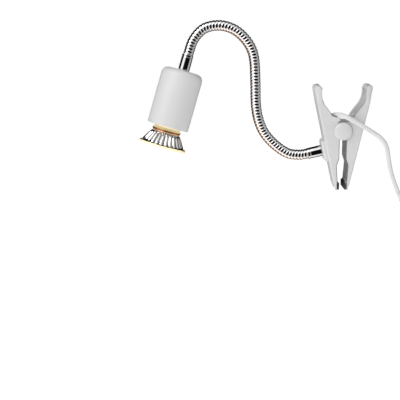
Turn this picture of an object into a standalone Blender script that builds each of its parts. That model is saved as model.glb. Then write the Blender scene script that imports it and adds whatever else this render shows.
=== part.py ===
"""Clip-on aquarium light: a spring clamp, a bending gooseneck and a reflector bulb in a round housing.

The origin is the centre of the gripping face of the lamp-side jaw pad.
+X points from the lamp-side jaw to the lever jaw, +Y to the back and +Z up. Units are metres.
"""
import math

import bmesh
import bpy
import numpy as np
from mathutils import Matrix, Vector

MM = 0.001
GAP = 0.3 * MM                      # clearance between pieces that touch

# Clamp
GLASS_GAP = 5.0 * MM                # space between the two pads at rest
PIVOT_HEIGHT = 60.0 * MM            # hinge pin above the middle of the pads
CLAMP_DEPTH = 28.0 * MM             # front to back over the flanges
FLANGE = 2.0 * MM
BACK_PLATE = 2.3 * MM
EAR_RADIUS = 9.0 * MM
PAD_THICKNESS = 2.0 * MM
PAD_HEIGHT = 7.0 * MM
HANDLE_TOP = (31.5 * MM, 48.0 * MM)     # outer corner of a handle, out from and above the pin
WAIST = 21.5 * MM                       # outer face of a jaw, out from the pin
JAW_TIP = (8.5 * MM, 2.0 * MM - PIVOT_HEIGHT)   # outer face just above the tip
PIN_RADIUS = 2.0 * MM
CAP_RADIUS = 9.5 * MM
CAP_HEIGHT = 4.0 * MM
SPRING_RADIUS = 5.2 * MM
SPRING_WIRE = 0.75 * MM
SPRING_TURNS = 6
BOSS_SIZE = (24.0 * MM, 22.0 * MM, 4.1 * MM)    # along the jaw, across it, proud of it
BOSS_DROP = 21.9 * MM                           # boss centre below the hinge pin
HANDLE_EDGE = [(11.1 * MM, 16.0 * MM), (15.8 * MM, 22.7 * MM), (20.4 * MM, 28.4 * MM),
               (22.7 * MM, 34.4 * MM), (23.5 * MM, 48.0 * MM)]     # inner edge of a handle, from the ear up
JAW_WAIST = 3.5 * MM                            # inner edge of a jaw below its ear
JAW_BULGE = (6.0 * MM, -37.0 * MM)              # inner edge where it clears the glass
EAR_ARC = 255.0                                 # degrees of an ear's round edge

# Gooseneck
HOSE_RADIUS = 5.5 * MM
HOSE_BORE = 2.4 * MM
NECK_CABLE = 1.8 * MM
FERRULE_RADIUS = 6.0 * MM
BASE_FERRULE = 16.0 * MM
HEAD_FERRULE = 17.4 * MM
SHANK_RADIUS = 4.4 * MM
SHANK_LENGTH = 11.5 * MM
NUT_FLATS = 12.5 * MM
NUT_HEIGHT = 3.0 * MM
WASHER_RADIUS = 7.0 * MM
WASHER = 0.8 * MM
NECK_JOINTS = 6
STRAIGHT = 6.4 * MM                 # straight hose each side of a joint
NECK_ROUTE = [                      # middle of the hose, from the base ferrule to the head ferrule
    (-43.0, 0.0, 32.7), (-55.5, 0.0, 34.8), (-69.6, 0.0, 44.7),
    (-80.4, 0.0, 57.2), (-86.6, 0.0, 71.9), (-89.3, 0.0, 88.2), (-90.0, 0.0, 111.2),
    (-91.2, 0.0, 133.5), (-94.6, 0.0, 146.5), (-102.6, 0.0, 158.2), (-114.0, 0.0, 167.0),
    (-128.6, 0.0, 170.7), (-144.3, -0.2, 167.4), (-155.3, -1.0, 155.9), (-161.0, -2.4, 140.9),
]
HEAD_AXIS = Vector((-0.284, -0.105, -0.953)).normalized()

# Head, measured down the head axis from the end of the hose
HOUSING_RADIUS = 22.25 * MM
HOUSING_LENGTH = 61.2 * MM
HOUSING_WALL = 2.0 * MM
HOUSING_TOP = 2.5 * MM
HOUSING_ROUND = 6.0 * MM
SOCKET_RADIUS = 13.0 * MM
SOCKET_WALL = 2.4 * MM
SOCKET_FACE = 3.2 * MM
SOCKET_TOP = 32.0 * MM
BULB_BASE = 50.5 * MM               # flat end face of the bulb, against the socket
BULB_LENGTH = 50.5 * MM
BULB_RIM = 25.35 * MM
COLLAR_RADIUS = 15.5 * MM
PIN_SPACING = 10.0 * MM
PIN_STEM = 1.5 * MM
PIN_HEAD = 2.4 * MM
BULB_TWIST = 25.0                   # degrees from locked to free
CONTACT_DEPTH = 7.4 * MM            # contact strips behind the bulb's end face
CONTACT = 0.7 * MM
BRACKET = 1.0 * MM
BRACKET_WIDTH = 13.0 * MM
SCREW_RADIUS = 1.3 * MM

# Cord
CORD_RADIUS = 2.5 * MM
LEAD_RADIUS = 0.8 * MM
TABLE = -166.7 * MM                 # the surface that the tank stands on
COIL_CENTRE = (131.0 * MM, 3.5 * MM)
COIL_RADIUS = 30.0 * MM
COIL_WIDTH = 6 * CORD_RADIUS        # three turns side by side
COIL_HEIGHT = 4 * CORD_RADIUS       # two layers
COIL_LIFT = 1.3 * MM
COIL_TOP = TABLE + COIL_LIFT + COIL_HEIGHT
TIE = 0.9 * MM
TIE_WIDTH = 6.0 * MM
SWITCH_SIZE = (19.0 * MM, 14.0 * MM, 56.0 * MM)
SWITCH_PLACE = (82.0 * MM, -14.0 * MM, -86.0 * MM)
SWITCH_WALL = 1.6 * MM
ROCKER_LENGTH = 19.4 * MM
ROCKER_WIDTH = 9.0 * MM
ROCKER_THROW = 10.0                 # degrees to each side of level
PLUG_PLACE = (146.0 * MM, 21.5 * MM, COIL_TOP + 6.8 * MM)   # where the cord enters the plug's relief
PLUG_RELIEF = 16.0 * MM
PLUG_BODY = (27.0 * MM, 26.0 * MM, 12.6 * MM)
PLUG_PIN = (19.0 * MM, 2.0 * MM, 19.0 * MM)         # length, radius and spacing of its two pins
ANCHOR_END = (-12.3, 3.0, 62.8)     # where the strain relief in the jaw ends, millimetres
CORD_FROM_JAW = [                   # from there to the switch, millimetres
    (-12.3, 2.9, 63.6), (-12.3, 2.2, 67.8), (-10.6, -0.5, 72.8), (-7.5, -5.1, 76.2),
    (-3.3, -11.1, 77.7), (1.6, -16.2, 77.1), (8.2, -19.3, 74.3), (16.5, -20.2, 69.6),
    (25.5, -20.0, 64.0), (35.1, -20.0, 58.0), (44.0, -19.6, 51.0), (49.0, -18.5, 42.0),
    (51.0, -16.5, 30.5), (55.0, -14.5, 14.8), (61.5, -13.0, -3.0), (68.5, -13.0, -18.0),
    (76.0, -13.5, -34.0), (81.0, -14.0, -46.5), (82.0, -14.0, -57.6),
]
CORD_TO_COIL = [
    (82.0, -14.0, -114.4), (82.0, -14.0, -125.0), (82.1, -14.0, -136.0), (83.3, -14.5, -147.0),
    (87.6, -16.3, -156.8), (94.0, -19.0, -162.7), (100.0, -21.5, -164.2),
]
CORD_TO_PLUG = [                    # heights above the coil
    (164.8, 8.3, 3.1), (161.8, 13.8, 4.4), (157.5, 17.9, 5.6), (152.2, 20.5, 6.5), (146.3, 21.5, 6.8),
]
ANCHOR_LENGTH = 13.4 * MM
LEAD_FROM_ANCHOR = [                # from the strain relief round into the neck's shank
    (-9.3, 3.0, 49.0), (-9.1, 3.0, 47.9), (-7.4, 2.9, 47.2), (-4.9, 2.5, 46.3), (-2.9, 1.7, 44.4),
    (-2.6, 0.8, 42.0), (-4.2, 0.2, 40.5), (-6.9, 0.0, 39.75), (-8.3, 0.0, 39.44),
]

PIVOT = Vector((GLASS_GAP / 2, 0, PIVOT_HEIGHT))
JAW_TILT = math.atan((WAIST - JAW_TIP[0]) / -JAW_TIP[1])
INTO_JAW = Vector((math.cos(JAW_TILT), 0, math.sin(JAW_TILT)))


# ---- scene and materials ---------------------------------------------------------------------

def clear_scene():
    for obj in list(bpy.data.objects):
        bpy.data.objects.remove(obj, do_unlink=True)


def new_collection(name):
    made = bpy.data.collections.new(name)
    bpy.context.scene.collection.children.link(made)
    return made


def material(name, colour, roughness, metallic=0.0):
    made = bpy.data.materials.new(name)
    made.use_nodes = True
    shader = made.node_tree.nodes["Principled BSDF"]
    shader.inputs["Base Color"].default_value = (*colour, 1)
    shader.inputs["Roughness"].default_value = roughness
    shader.inputs["Metallic"].default_value = metallic
    return made


clear_scene()
PARTS = new_collection("aquarium_light")
CUTTERS = new_collection("cutters")
WHITE = material("white_plastic", (0.82, 0.82, 0.82), 0.3)
CHROME = material("chrome", (0.8, 0.8, 0.82), 0.08, 1.0)
STEEL = material("steel", (0.6, 0.6, 0.6), 0.35, 1.0)
BRASS = material("brass", (0.8, 0.6, 0.25), 0.3, 1.0)
CERAMIC = material("ceramic", (0.85, 0.83, 0.78), 0.5)
RUBBER = material("grey_rubber", (0.35, 0.35, 0.36), 0.8)
GLASS = material("warm_glass", (1.0, 0.95, 0.8), 0.1)
SILVER = material("reflector", (0.85, 0.85, 0.85), 0.1, 1.0)
CORD = material("white_cord", (0.8, 0.8, 0.8), 0.5)
COPPER = material("lead", (0.7, 0.25, 0.1), 0.5)


# ---- making shapes ---------------------------------------------------------------------------

def add(name, data, mat=None, place=None, parent=None):
    """Link a new object, as a part when it has a material and as a cutter when it has none."""
    obj = bpy.data.objects.new(name, data)
    (PARTS if mat else CUTTERS).objects.link(obj)
    if mat:
        obj.data.materials.append(mat)
    else:
        obj.hide_render = True
        obj.display_type = "WIRE"
    obj.parent = parent
    if place is not None:
        obj.matrix_local = place
    return obj


def frame_at(origin, z_axis, y_hint=(0, 1, 0)):
    """A placing matrix whose Z runs along z_axis and whose Y stays near y_hint."""
    z = Vector(z_axis).normalized()
    x = Vector(y_hint).cross(z).normalized()
    return Matrix.Translation(origin) @ Matrix((x, z.cross(x), z)).transposed().to_4x4()


def turned(name, profile, mat=None, place=None, parent=None, steps=20):
    """Turn a closed outline of (radius, height) points round the object's Z."""
    area = sum(a[0] * b[1] - b[0] * a[1] for a, b in zip(profile, profile[1:] + profile[:1]))
    loop = profile if area < 0 else profile[::-1]
    on_axis = [i for i, point in enumerate(loop) if point[0] < 1e-7]
    closed = len(on_axis) < 2
    if not closed:
        first = next(i for i in on_axis if (i - 1) % len(loop) in on_axis)
        loop = loop[first:] + loop[:first]
    edges = [(i, i + 1) for i in range(len(loop) - 1)] + ([(len(loop) - 1, 0)] if closed else [])
    mesh = bpy.data.meshes.new(name)
    mesh.from_pydata([(r, 0, z) for r, z in loop], edges, [])
    obj = add(name, mesh, mat, place, parent)
    screw = obj.modifiers.new("turn", "SCREW")
    screw.steps = screw.render_steps = steps
    screw.use_merge_vertices = True
    screw.merge_threshold = 0.00001
    screw.use_normal_calculate = False
    return obj


def block(name, size, centre, mat=None, place=None, parent=None):
    mesh = bpy.data.meshes.new(name)
    shape = bmesh.new()
    bmesh.ops.create_cube(shape, size=1.0)
    bmesh.ops.scale(shape, vec=size, verts=shape.verts)
    bmesh.ops.translate(shape, vec=centre, verts=shape.verts)
    shape.to_mesh(mesh)
    shape.free()
    return add(name, mesh, mat, place, parent)


def rod(name, radius, start, end, mat=None, place=None, parent=None, sides=16):
    """A cylinder between two points of the object's own space."""
    start, end = Vector(start), Vector(end)
    mesh = bpy.data.meshes.new(name)
    shape = bmesh.new()
    bmesh.ops.create_cone(shape, cap_ends=True, segments=sides, radius1=radius, radius2=radius,
                          depth=(end - start).length)
    turn = frame_at((start + end) / 2, end - start, (0, 0, 1) if abs((end - start).y) > 1e-6 else (0, 1, 0))
    bmesh.ops.transform(shape, matrix=turn, verts=shape.verts)
    shape.to_mesh(mesh)
    shape.free()
    return add(name, mesh, mat, place, parent)


def plate(name, outline, thickness, mat=None, place=None, parent=None):
    """Extrude a flat outline to both sides of the object's XY plane, as a welded mesh."""
    curve = bpy.data.curves.new(name, "CURVE")
    curve.dimensions = "2D"
    curve.fill_mode = "BOTH"
    curve.extrude = thickness / 2
    spline = curve.splines.new("POLY")
    spline.points.add(len(outline) - 1)
    for point, (x, y) in zip(spline.points, outline):
        point.co = (x, y, 0, 1)
    spline.use_cyclic_u = True
    guide = bpy.data.objects.new(name + "_outline", curve)
    bpy.context.scene.collection.objects.link(guide)
    bpy.context.view_layer.update()
    mesh = bpy.data.meshes.new_from_object(guide.evaluated_get(bpy.context.evaluated_depsgraph_get()))
    bpy.data.objects.remove(guide)
    shape = bmesh.new()
    shape.from_mesh(mesh)
    bmesh.ops.remove_doubles(shape, verts=shape.verts, dist=0.00001)
    bmesh.ops.recalc_face_normals(shape, faces=shape.faces)
    shape.to_mesh(mesh)
    shape.free()
    return add(name, mesh, mat, place, parent)


def wire(name, points, radius, mat, parent=None, detail=2):
    """A round wire or cord through the points, with filled ends."""
    curve = bpy.data.curves.new(name, "CURVE")
    curve.dimensions = "3D"
    curve.bevel_depth = radius
    curve.bevel_resolution = detail
    curve.use_fill_caps = True
    curve.render_resolution_u = 0
    spline = curve.splines.new("POLY")
    spline.points.add(len(points) - 1)
    for point, co in zip(spline.points, points):
        point.co = (*co, 1)
    return add(name, curve, mat, parent=parent)


def boolean(target, other, operation="DIFFERENCE"):
    made = target.modifiers.new(other.name, "BOOLEAN")
    made.operation = operation
    made.object = other
    made.solver = "EXACT"


def smooth_route(points, spacing):
    """Points a set distance apart on a smooth curve through the route's own points."""
    route = np.array(points, float)
    before = np.vstack([2 * route[0] - route[1], route[:-1]])
    after = np.vstack([route[1:], 2 * route[-1] - route[-2]])
    slope = (after - before) / 2
    steps = np.linspace(0, 1, 24, endpoint=False)[:, None]
    pieces = []
    for i in range(len(route) - 1):
        a, b, c, d = route[i], route[i + 1], slope[i], slope[i + 1]
        pieces.append(a * (2 * steps**3 - 3 * steps**2 + 1) + b * (3 * steps**2 - 2 * steps**3)
                      + c * (steps**3 - 2 * steps**2 + steps) + d * (steps**3 - steps**2))
    dense = np.vstack(pieces + [route[-1:]])
    along = np.concatenate([[0], np.cumsum(np.linalg.norm(np.diff(dense, axis=0), axis=1))])
    wanted = np.linspace(0, along[-1], max(3, round(along[-1] / spacing) + 1))
    return np.column_stack([np.interp(wanted, along, dense[:, i]) for i in range(3)])


def arc(centre, radius, start, end, count):
    """Points on an arc, angles in degrees."""
    return [(centre[0] + radius * math.cos(math.radians(start + (end - start) * i / count)),
             centre[1] + radius * math.sin(math.radians(start + (end - start) * i / count)))
            for i in range(count + 1)]


# ---- clamp -----------------------------------------------------------------------------------

def outer_face(height):
    """How far a jaw's outer face stands out from the hinge pin, at a height above it."""
    if height >= 0:
        return WAIST + (HANDLE_TOP[0] - WAIST) * height / HANDLE_TOP[1]
    return WAIST - (WAIST - JAW_TIP[0]) * height / JAW_TIP[1]


def jaw_outline(side):
    """Side view of a jaw about the hinge pin. side is -1 for the lamp's jaw and 1 for the lever."""
    seat = GLASS_GAP / 2 + PAD_THICKNESS + GAP
    pad_middle = -PIVOT_HEIGHT
    tip = pad_middle - PAD_HEIGHT / 2 - 0.5 * MM
    seat_top = pad_middle + PAD_HEIGHT / 2 + 0.5 * MM
    rise = math.sqrt(EAR_RADIUS**2 - JAW_WAIST**2)
    ear_low = math.degrees(math.atan2(-rise, JAW_WAIST))
    points = [(HANDLE_TOP[0], HANDLE_TOP[1] - 3 * MM), (WAIST, 0), JAW_TIP,
              (max(outer_face(tip) - 1 * MM, seat + 1 * MM), tip), (seat, tip), (seat, seat_top),
              JAW_BULGE, (JAW_WAIST, JAW_BULGE[1] + 7 * MM)]
    points += arc((0, 0), EAR_RADIUS, ear_low, ear_low - EAR_ARC, 16)
    points += HANDLE_EDGE + [(HANDLE_TOP[0] - 1 * MM, HANDLE_TOP[1])]
    return [(side * x, z) for x, z in points]


def pocket_outline(side, low, high):
    """The hollow between a jaw's flanges, from one height to another."""
    heights = [high, 0, low] if low < 0 < high else [high, low]
    points = [(outer_face(z) - BACK_PLATE, z) for z in heights]
    return [(side * x, z) for x, z in points + [(-40 * MM, low), (-40 * MM, high)]]


ON_EDGE = Matrix.Translation(PIVOT) @ Matrix.Rotation(math.pi / 2, 4, "X")
POCKET_TOP = HANDLE_TOP[1] - 2.5 * MM
POCKET_LOW = -PIVOT_HEIGHT + PAD_HEIGHT / 2 + 1.5 * MM
JAW_ZONE = 15.0 * MM                # the hinge's part of a jaw, above and below the pin


def jaw(name, side):
    body = plate(name, jaw_outline(side), CLAMP_DEPTH, WHITE, ON_EDGE)
    wide = CLAMP_DEPTH - 2 * FLANGE
    if side < 0:
        hollow = plate(name + "_hollow", pocket_outline(side, POCKET_LOW, POCKET_TOP), wide, None, ON_EDGE)
        boolean(body, hollow)
    else:
        narrow = wide - 2 * (GAP + FLANGE)
        for label, low, high, depth in [("low", POCKET_LOW, -JAW_ZONE, wide),
                                        ("middle", POCKET_LOW, POCKET_TOP, narrow),
                                        ("high", JAW_ZONE, POCKET_TOP, wide)]:
            outline = pocket_outline(side, low, high)
            boolean(body, plate(name + "_hollow_" + label, outline, depth, None, ON_EDGE))
        for back in (-1, 1):
            face = back * (wide / 2 - GAP)
            boolean(body, rod(f"{name}_relief_{back}", EAR_RADIUS + GAP + 0.1 * MM, (0, 0, face),
                              (0, 0, face + back * 5 * MM), None, ON_EDGE, sides=32))
    boolean(body, rod(name + "_pin_hole", PIN_RADIUS + GAP, (0, 0, -CLAMP_DEPTH), (0, 0, CLAMP_DEPTH),
                      None, ON_EDGE))
    return body


BOSS_FACE = PIVOT + Vector((-outer_face(-BOSS_DROP), 0, -BOSS_DROP)) - INTO_JAW * BOSS_SIZE[2]
BASE_FRAME = frame_at(BOSS_FACE, INTO_JAW)


def lamp_jaw():
    body = jaw("lamp_jaw", -1)
    length, width, proud = BOSS_SIZE
    boss = block("neck_boss", (length, width, proud + 1 * MM), (0, 0, (proud + 1 * MM) / 2), None, BASE_FRAME)
    boolean(body, boss, "UNION")
    through = proud + BACK_PLATE + 2.6 * MM
    boolean(body, rod("neck_hole", SHANK_RADIUS + GAP, (0, 0, -1 * MM), (0, 0, through), None, BASE_FRAME))


def hinge():
    half = CLAMP_DEPTH / 2
    reach = Vector((0, half + 2 * MM, 0))
    rod("pivot_pin", PIN_RADIUS, PIVOT - reach, PIVOT + reach, STEEL)
    for name, back in (("pivot_cap_front", -1), ("pivot_cap_rear", 1)):
        dome = [(CAP_RADIUS * math.cos(a), CAP_HEIGHT * (0.35 + 0.65 * math.sin(a)))
                for a in np.linspace(0, math.pi / 2, 5)]
        socket = [(0, 2.4 * MM), (PIN_RADIUS + GAP, 2.4 * MM), (PIN_RADIUS + GAP, 0)]
        dome[-1] = (0, CAP_HEIGHT)
        outline = [(CAP_RADIUS, 0)] + dome + socket
        place = frame_at(PIVOT + Vector((0, back * (half + GAP), 0)), (0, back, 0), (0, 0, 1))
        turned(name, outline, WHITE, place)
    spring = []
    count = 8 * SPRING_TURNS + 3
    for i in range(count + 1):
        angle = math.radians(-45 - 45 * i)
        spring.append((SPRING_RADIUS * math.cos(angle), -4.5 * MM + 12 * MM * i / count,
                       SPRING_RADIUS * math.sin(angle)))
    rest = 22.0 * MM
    reach = outer_face(rest) - BACK_PLATE - SPRING_WIRE - GAP
    lead_out = [(reach, spring[0][1], rest)]
    lead_in = [(-reach, spring[-1][1] + 0.3 * MM, rest)]
    wire("clamp_spring", [PIVOT + Vector(p) for p in lead_out + spring + lead_in], SPRING_WIRE, STEEL)


def pads():
    size = (PAD_THICKNESS, CLAMP_DEPTH - 2 * MM, PAD_HEIGHT)
    block("lamp_jaw_pad", size, (-PAD_THICKNESS / 2, 0, 0), RUBBER)
    place = Matrix.Translation(PIVOT)
    block("lever_jaw_pad", size, (GLASS_GAP / 2 + PAD_THICKNESS / 2, 0, -PIVOT_HEIGHT), RUBBER, place)


# ---- gooseneck -------------------------------------------------------------------------------

def unit(vector):
    return vector / np.linalg.norm(vector)


def neck_stations():
    """The hose's two ends and its joints, evenly along it: points and directions."""
    start = BASE_FRAME @ Vector((0, 0, -BASE_FERRULE)) / MM
    dense = smooth_route([tuple(start)] + NECK_ROUTE, 0.5) * MM
    index = np.linspace(0, len(dense) - 1, NECK_JOINTS + 2).round().astype(int)
    points = [dense[i] for i in index]
    directions = [unit(dense[min(i + 2, len(dense) - 1)] - dense[max(i - 2, 0)]) for i in index]
    directions[0] = -np.array(INTO_JAW)
    directions[-1] = np.array(HEAD_AXIS)
    return points, directions


def hose_line(start, start_way, end, end_way, distance, length):
    """Point and direction on the hose between two stations: straight, then a bend, then straight."""
    a, b = start + start_way * STRAIGHT, end - end_way * STRAIGHT
    if distance <= STRAIGHT:
        return start + start_way * distance, start_way
    if distance >= length - STRAIGHT:
        return end - end_way * (length - distance), end_way
    t = (distance - STRAIGHT) / (length - 2 * STRAIGHT)
    pull = np.linalg.norm(b - a)
    point = (a * (2 * t**3 - 3 * t**2 + 1) + b * (3 * t**2 - 2 * t**3)
             + pull * (start_way * (t**3 - 2 * t**2 + t) + end_way * (t**3 - t**2)))
    way = (a * (6 * t**2 - 6 * t) + b * (6 * t - 6 * t**2)
           + pull * (start_way * (3 * t**2 - 4 * t + 1) + end_way * (3 * t**2 - 2 * t)))
    return point, unit(way)


def hose_profile(length, cup, dome):
    """A hose piece's wall: a hollow cup at its foot and a ball end at its head, where it has them."""
    heights = list(np.linspace(length - STRAIGHT, STRAIGHT, 5))
    socket = HOSE_RADIUS + GAP
    top = [(HOSE_BORE, length - GAP), (HOSE_RADIUS, length - GAP)]
    if dome:
        angles = np.linspace(math.acos(HOSE_BORE / HOSE_RADIUS), 0, 5)
        top = [(HOSE_RADIUS * math.cos(a), length + HOSE_RADIUS * math.sin(a)) for a in angles]
    foot = [(HOSE_RADIUS, GAP), (HOSE_BORE, GAP)]
    if cup:
        angles = np.linspace(math.acos(HOSE_RADIUS / socket), math.acos(HOSE_BORE / socket), 5)
        foot = [(socket * math.cos(a), socket * math.sin(a)) for a in angles]
    outside = [(HOSE_RADIUS, h) for h in heights]
    inside = [(HOSE_BORE, h) for h in heights[::-1] if h > foot[-1][1] + 0.1 * MM]
    return top + outside + foot + inside


def neck():
    points, ways = neck_stations()
    for k in range(NECK_JOINTS + 1):
        first, last = k == 0, k == NECK_JOINTS
        start, end = points[k], points[k + 1]
        length = float(np.linalg.norm(end - start)) * 1.02
        line = (start, ways[k], end, ways[k + 1])
        piece = turned(f"neck_hose_{k + 1}", hose_profile(length, not first, not last), CHROME, steps=12)
        bpy.context.view_layer.update()
        mesh = bpy.data.meshes.new_from_object(piece.evaluated_get(bpy.context.evaluated_depsgraph_get()))
        piece.modifiers.clear()
        place = frame_at(Vector(start), Vector(ways[k]))
        back = place.inverted()
        for vertex in mesh.vertices:
            at, way = hose_line(*line, vertex.co.z, length)
            vertex.co = back @ (frame_at(Vector(at), Vector(way)) @ Vector((vertex.co.x, vertex.co.y, 0)))
        piece.data = mesh
        piece.matrix_world = place
        low = STRAIGHT if not first else -(BASE_FERRULE + SHANK_LENGTH)
        high = length + HOSE_RADIUS * 0.75 if not last else length + HEAD_FERRULE + SHANK_LENGTH - 2 * MM
        if first:
            low += 2 * MM
        cable = [hose_line(*line, s, length)[0] for s in np.linspace(low, high, 8)]
        wire(f"neck_cable_{k + 1}", cable, NECK_CABLE, CORD)


def ferrule(name, collar, place):
    """A collar with a threaded shank beyond it, bored through for the cable."""
    outline = [(HOSE_BORE, GAP), (FERRULE_RADIUS - 0.5 * MM, GAP), (FERRULE_RADIUS, 0.8 * MM),
               (FERRULE_RADIUS, collar - GAP), (SHANK_RADIUS, collar - GAP),
               (SHANK_RADIUS, collar + SHANK_LENGTH), (HOSE_BORE, collar + SHANK_LENGTH)]
    turned(name, outline, CHROME, place)


def washer_and_nut(prefix, start, place):
    hole = SHANK_RADIUS + GAP
    ring = [(hole, start), (WASHER_RADIUS, start), (WASHER_RADIUS, start + WASHER), (hole, start + WASHER)]
    turned(prefix + "_washer", ring, STEEL, place)
    low = start + WASHER + GAP
    hexagon = [(NUT_FLATS / math.sqrt(3) * math.cos(math.radians(60 * i + 30)),
                NUT_FLATS / math.sqrt(3) * math.sin(math.radians(60 * i + 30))) for i in range(6)]
    middle = place @ Matrix.Translation((0, 0, low + NUT_HEIGHT / 2))
    nut = plate(prefix + "_nut", hexagon, NUT_HEIGHT, STEEL, middle)
    boolean(nut, rod(prefix + "_nut_hole", hole, (0, 0, -NUT_HEIGHT), (0, 0, NUT_HEIGHT), None, middle))


# ---- head ------------------------------------------------------------------------------------

def head_frame():
    points, ways = neck_stations()
    return frame_at(Vector(points[-1]), Vector(ways[-1]))


def housing(head):
    top, end = HEAD_FERRULE, HEAD_FERRULE + HOUSING_LENGTH
    inner = HOUSING_RADIUS - HOUSING_WALL
    hole = SHANK_RADIUS + GAP
    corner = arc((HOUSING_RADIUS - HOUSING_ROUND, top + HOUSING_ROUND), HOUSING_ROUND, -90, 0, 6)
    bend = HOUSING_ROUND - HOUSING_WALL
    inside = arc((inner - bend, top + HOUSING_TOP + bend), bend, 0, -90, 4)
    outline = [(hole, top)] + corner + [(HOUSING_RADIUS, end), (inner, end)] + inside
    outline.append((hole, top + HOUSING_TOP))
    turned("lamp_housing", outline, WHITE, head, steps=32)


def bracket(head):
    top = HEAD_FERRULE + HOUSING_TOP + GAP
    reach = SOCKET_RADIUS + GAP
    low = SOCKET_TOP + 10 * MM
    strap = block("socket_bracket", (2 * (reach + BRACKET), BRACKET_WIDTH, BRACKET),
                  (0, 0, top + BRACKET / 2), STEEL, head)
    screw_height = SOCKET_TOP + 5.5 * MM
    for side in (-1, 1):
        leg = block(f"bracket_leg_{side}", (BRACKET, BRACKET_WIDTH, low - top),
                    (side * (reach + BRACKET / 2), 0, (low + top) / 2), None, head)
        boolean(strap, leg, "UNION")
    boolean(strap, rod("bracket_hole", SHANK_RADIUS + GAP, (0, 0, top - MM), (0, 0, top + 2 * MM),
                       None, head))
    across = rod("bracket_screw_hole", SCREW_RADIUS + GAP, (-30 * MM, 0, screw_height),
                 (30 * MM, 0, screw_height), None, head)
    boolean(strap, across)
    for name, side in (("socket_screw_left", -1), ("socket_screw_right", 1)):
        seat = reach + BRACKET + GAP
        tip = -(seat - SOCKET_RADIUS + SOCKET_WALL - 0.4 * MM)
        outline = [(0, tip), (SCREW_RADIUS, tip), (SCREW_RADIUS, 0), (2.5 * MM, 0), (2.5 * MM, 1 * MM),
                   (1.6 * MM, 1.7 * MM), (0, 1.7 * MM)]
        place = head @ frame_at((side * seat, 0, screw_height), (side, 0, 0))
        turned(name, outline, STEEL, place, steps=12)
    return across


def socket(head, screw_hole):
    face = BULB_BASE - GAP
    inner = SOCKET_RADIUS - SOCKET_WALL
    outline = [(0, face), (SOCKET_RADIUS - 0.8 * MM, face), (SOCKET_RADIUS, face - 0.8 * MM),
               (SOCKET_RADIUS, SOCKET_TOP), (inner, SOCKET_TOP), (inner, face - SOCKET_FACE),
               (0, face - SOCKET_FACE)]
    body = turned("lamp_socket", outline, CERAMIC, head, steps=20)
    boolean(body, screw_hole)
    radius, half = PIN_SPACING / 2, PIN_STEM + GAP
    contact_height = BULB_BASE - CONTACT_DEPTH
    for side, turn in (("left", 180), ("right", 0)):
        slot = arc((0, 0), radius + half, turn, turn + BULB_TWIST, 3)
        slot += arc((0, 0), radius - half, turn + BULB_TWIST, turn, 3)
        middle = head @ Matrix.Translation((0, 0, face - SOCKET_FACE / 2))
        boolean(body, plate("slot_" + side, slot, SOCKET_FACE * 2, None, middle))
        for label, angle, size in (("lock", turn, half), ("entry", turn + BULB_TWIST, PIN_HEAD + GAP)):
            x, y = radius * math.cos(math.radians(angle)), radius * math.sin(math.radians(angle))
            boolean(body, rod(f"{label}_{side}", size, (x, y, -SOCKET_FACE), (x, y, SOCKET_FACE),
                              None, middle, sides=12))
        low, high = radius - PIN_HEAD, radius + PIN_HEAD
        strip = arc((0, 0), high, turn - 35, turn + 35, 5) + arc((0, 0), low, turn + 35, turn - 35, 5)
        contact_place = head @ Matrix.Translation((0, 0, contact_height))
        plate("socket_contact_" + side, strip, CONTACT, BRASS, contact_place)
        way = math.copysign(1.0, math.cos(math.radians(turn)))
        start = Vector((way * MM, 0, HEAD_FERRULE + SHANK_LENGTH - 1.6 * MM))
        end = Vector((way * radius, 0, contact_height - CONTACT / 2 - GAP))
        route = [start, start + Vector((0, 0, 3 * MM)), (start + end) / 2, end - Vector((0, 0, 3 * MM)), end]
        points = [head @ Vector(p) for p in smooth_route(route, 2.5 * MM)]
        wire("head_lead_" + side, points, LEAD_RADIUS, COPPER)


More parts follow.
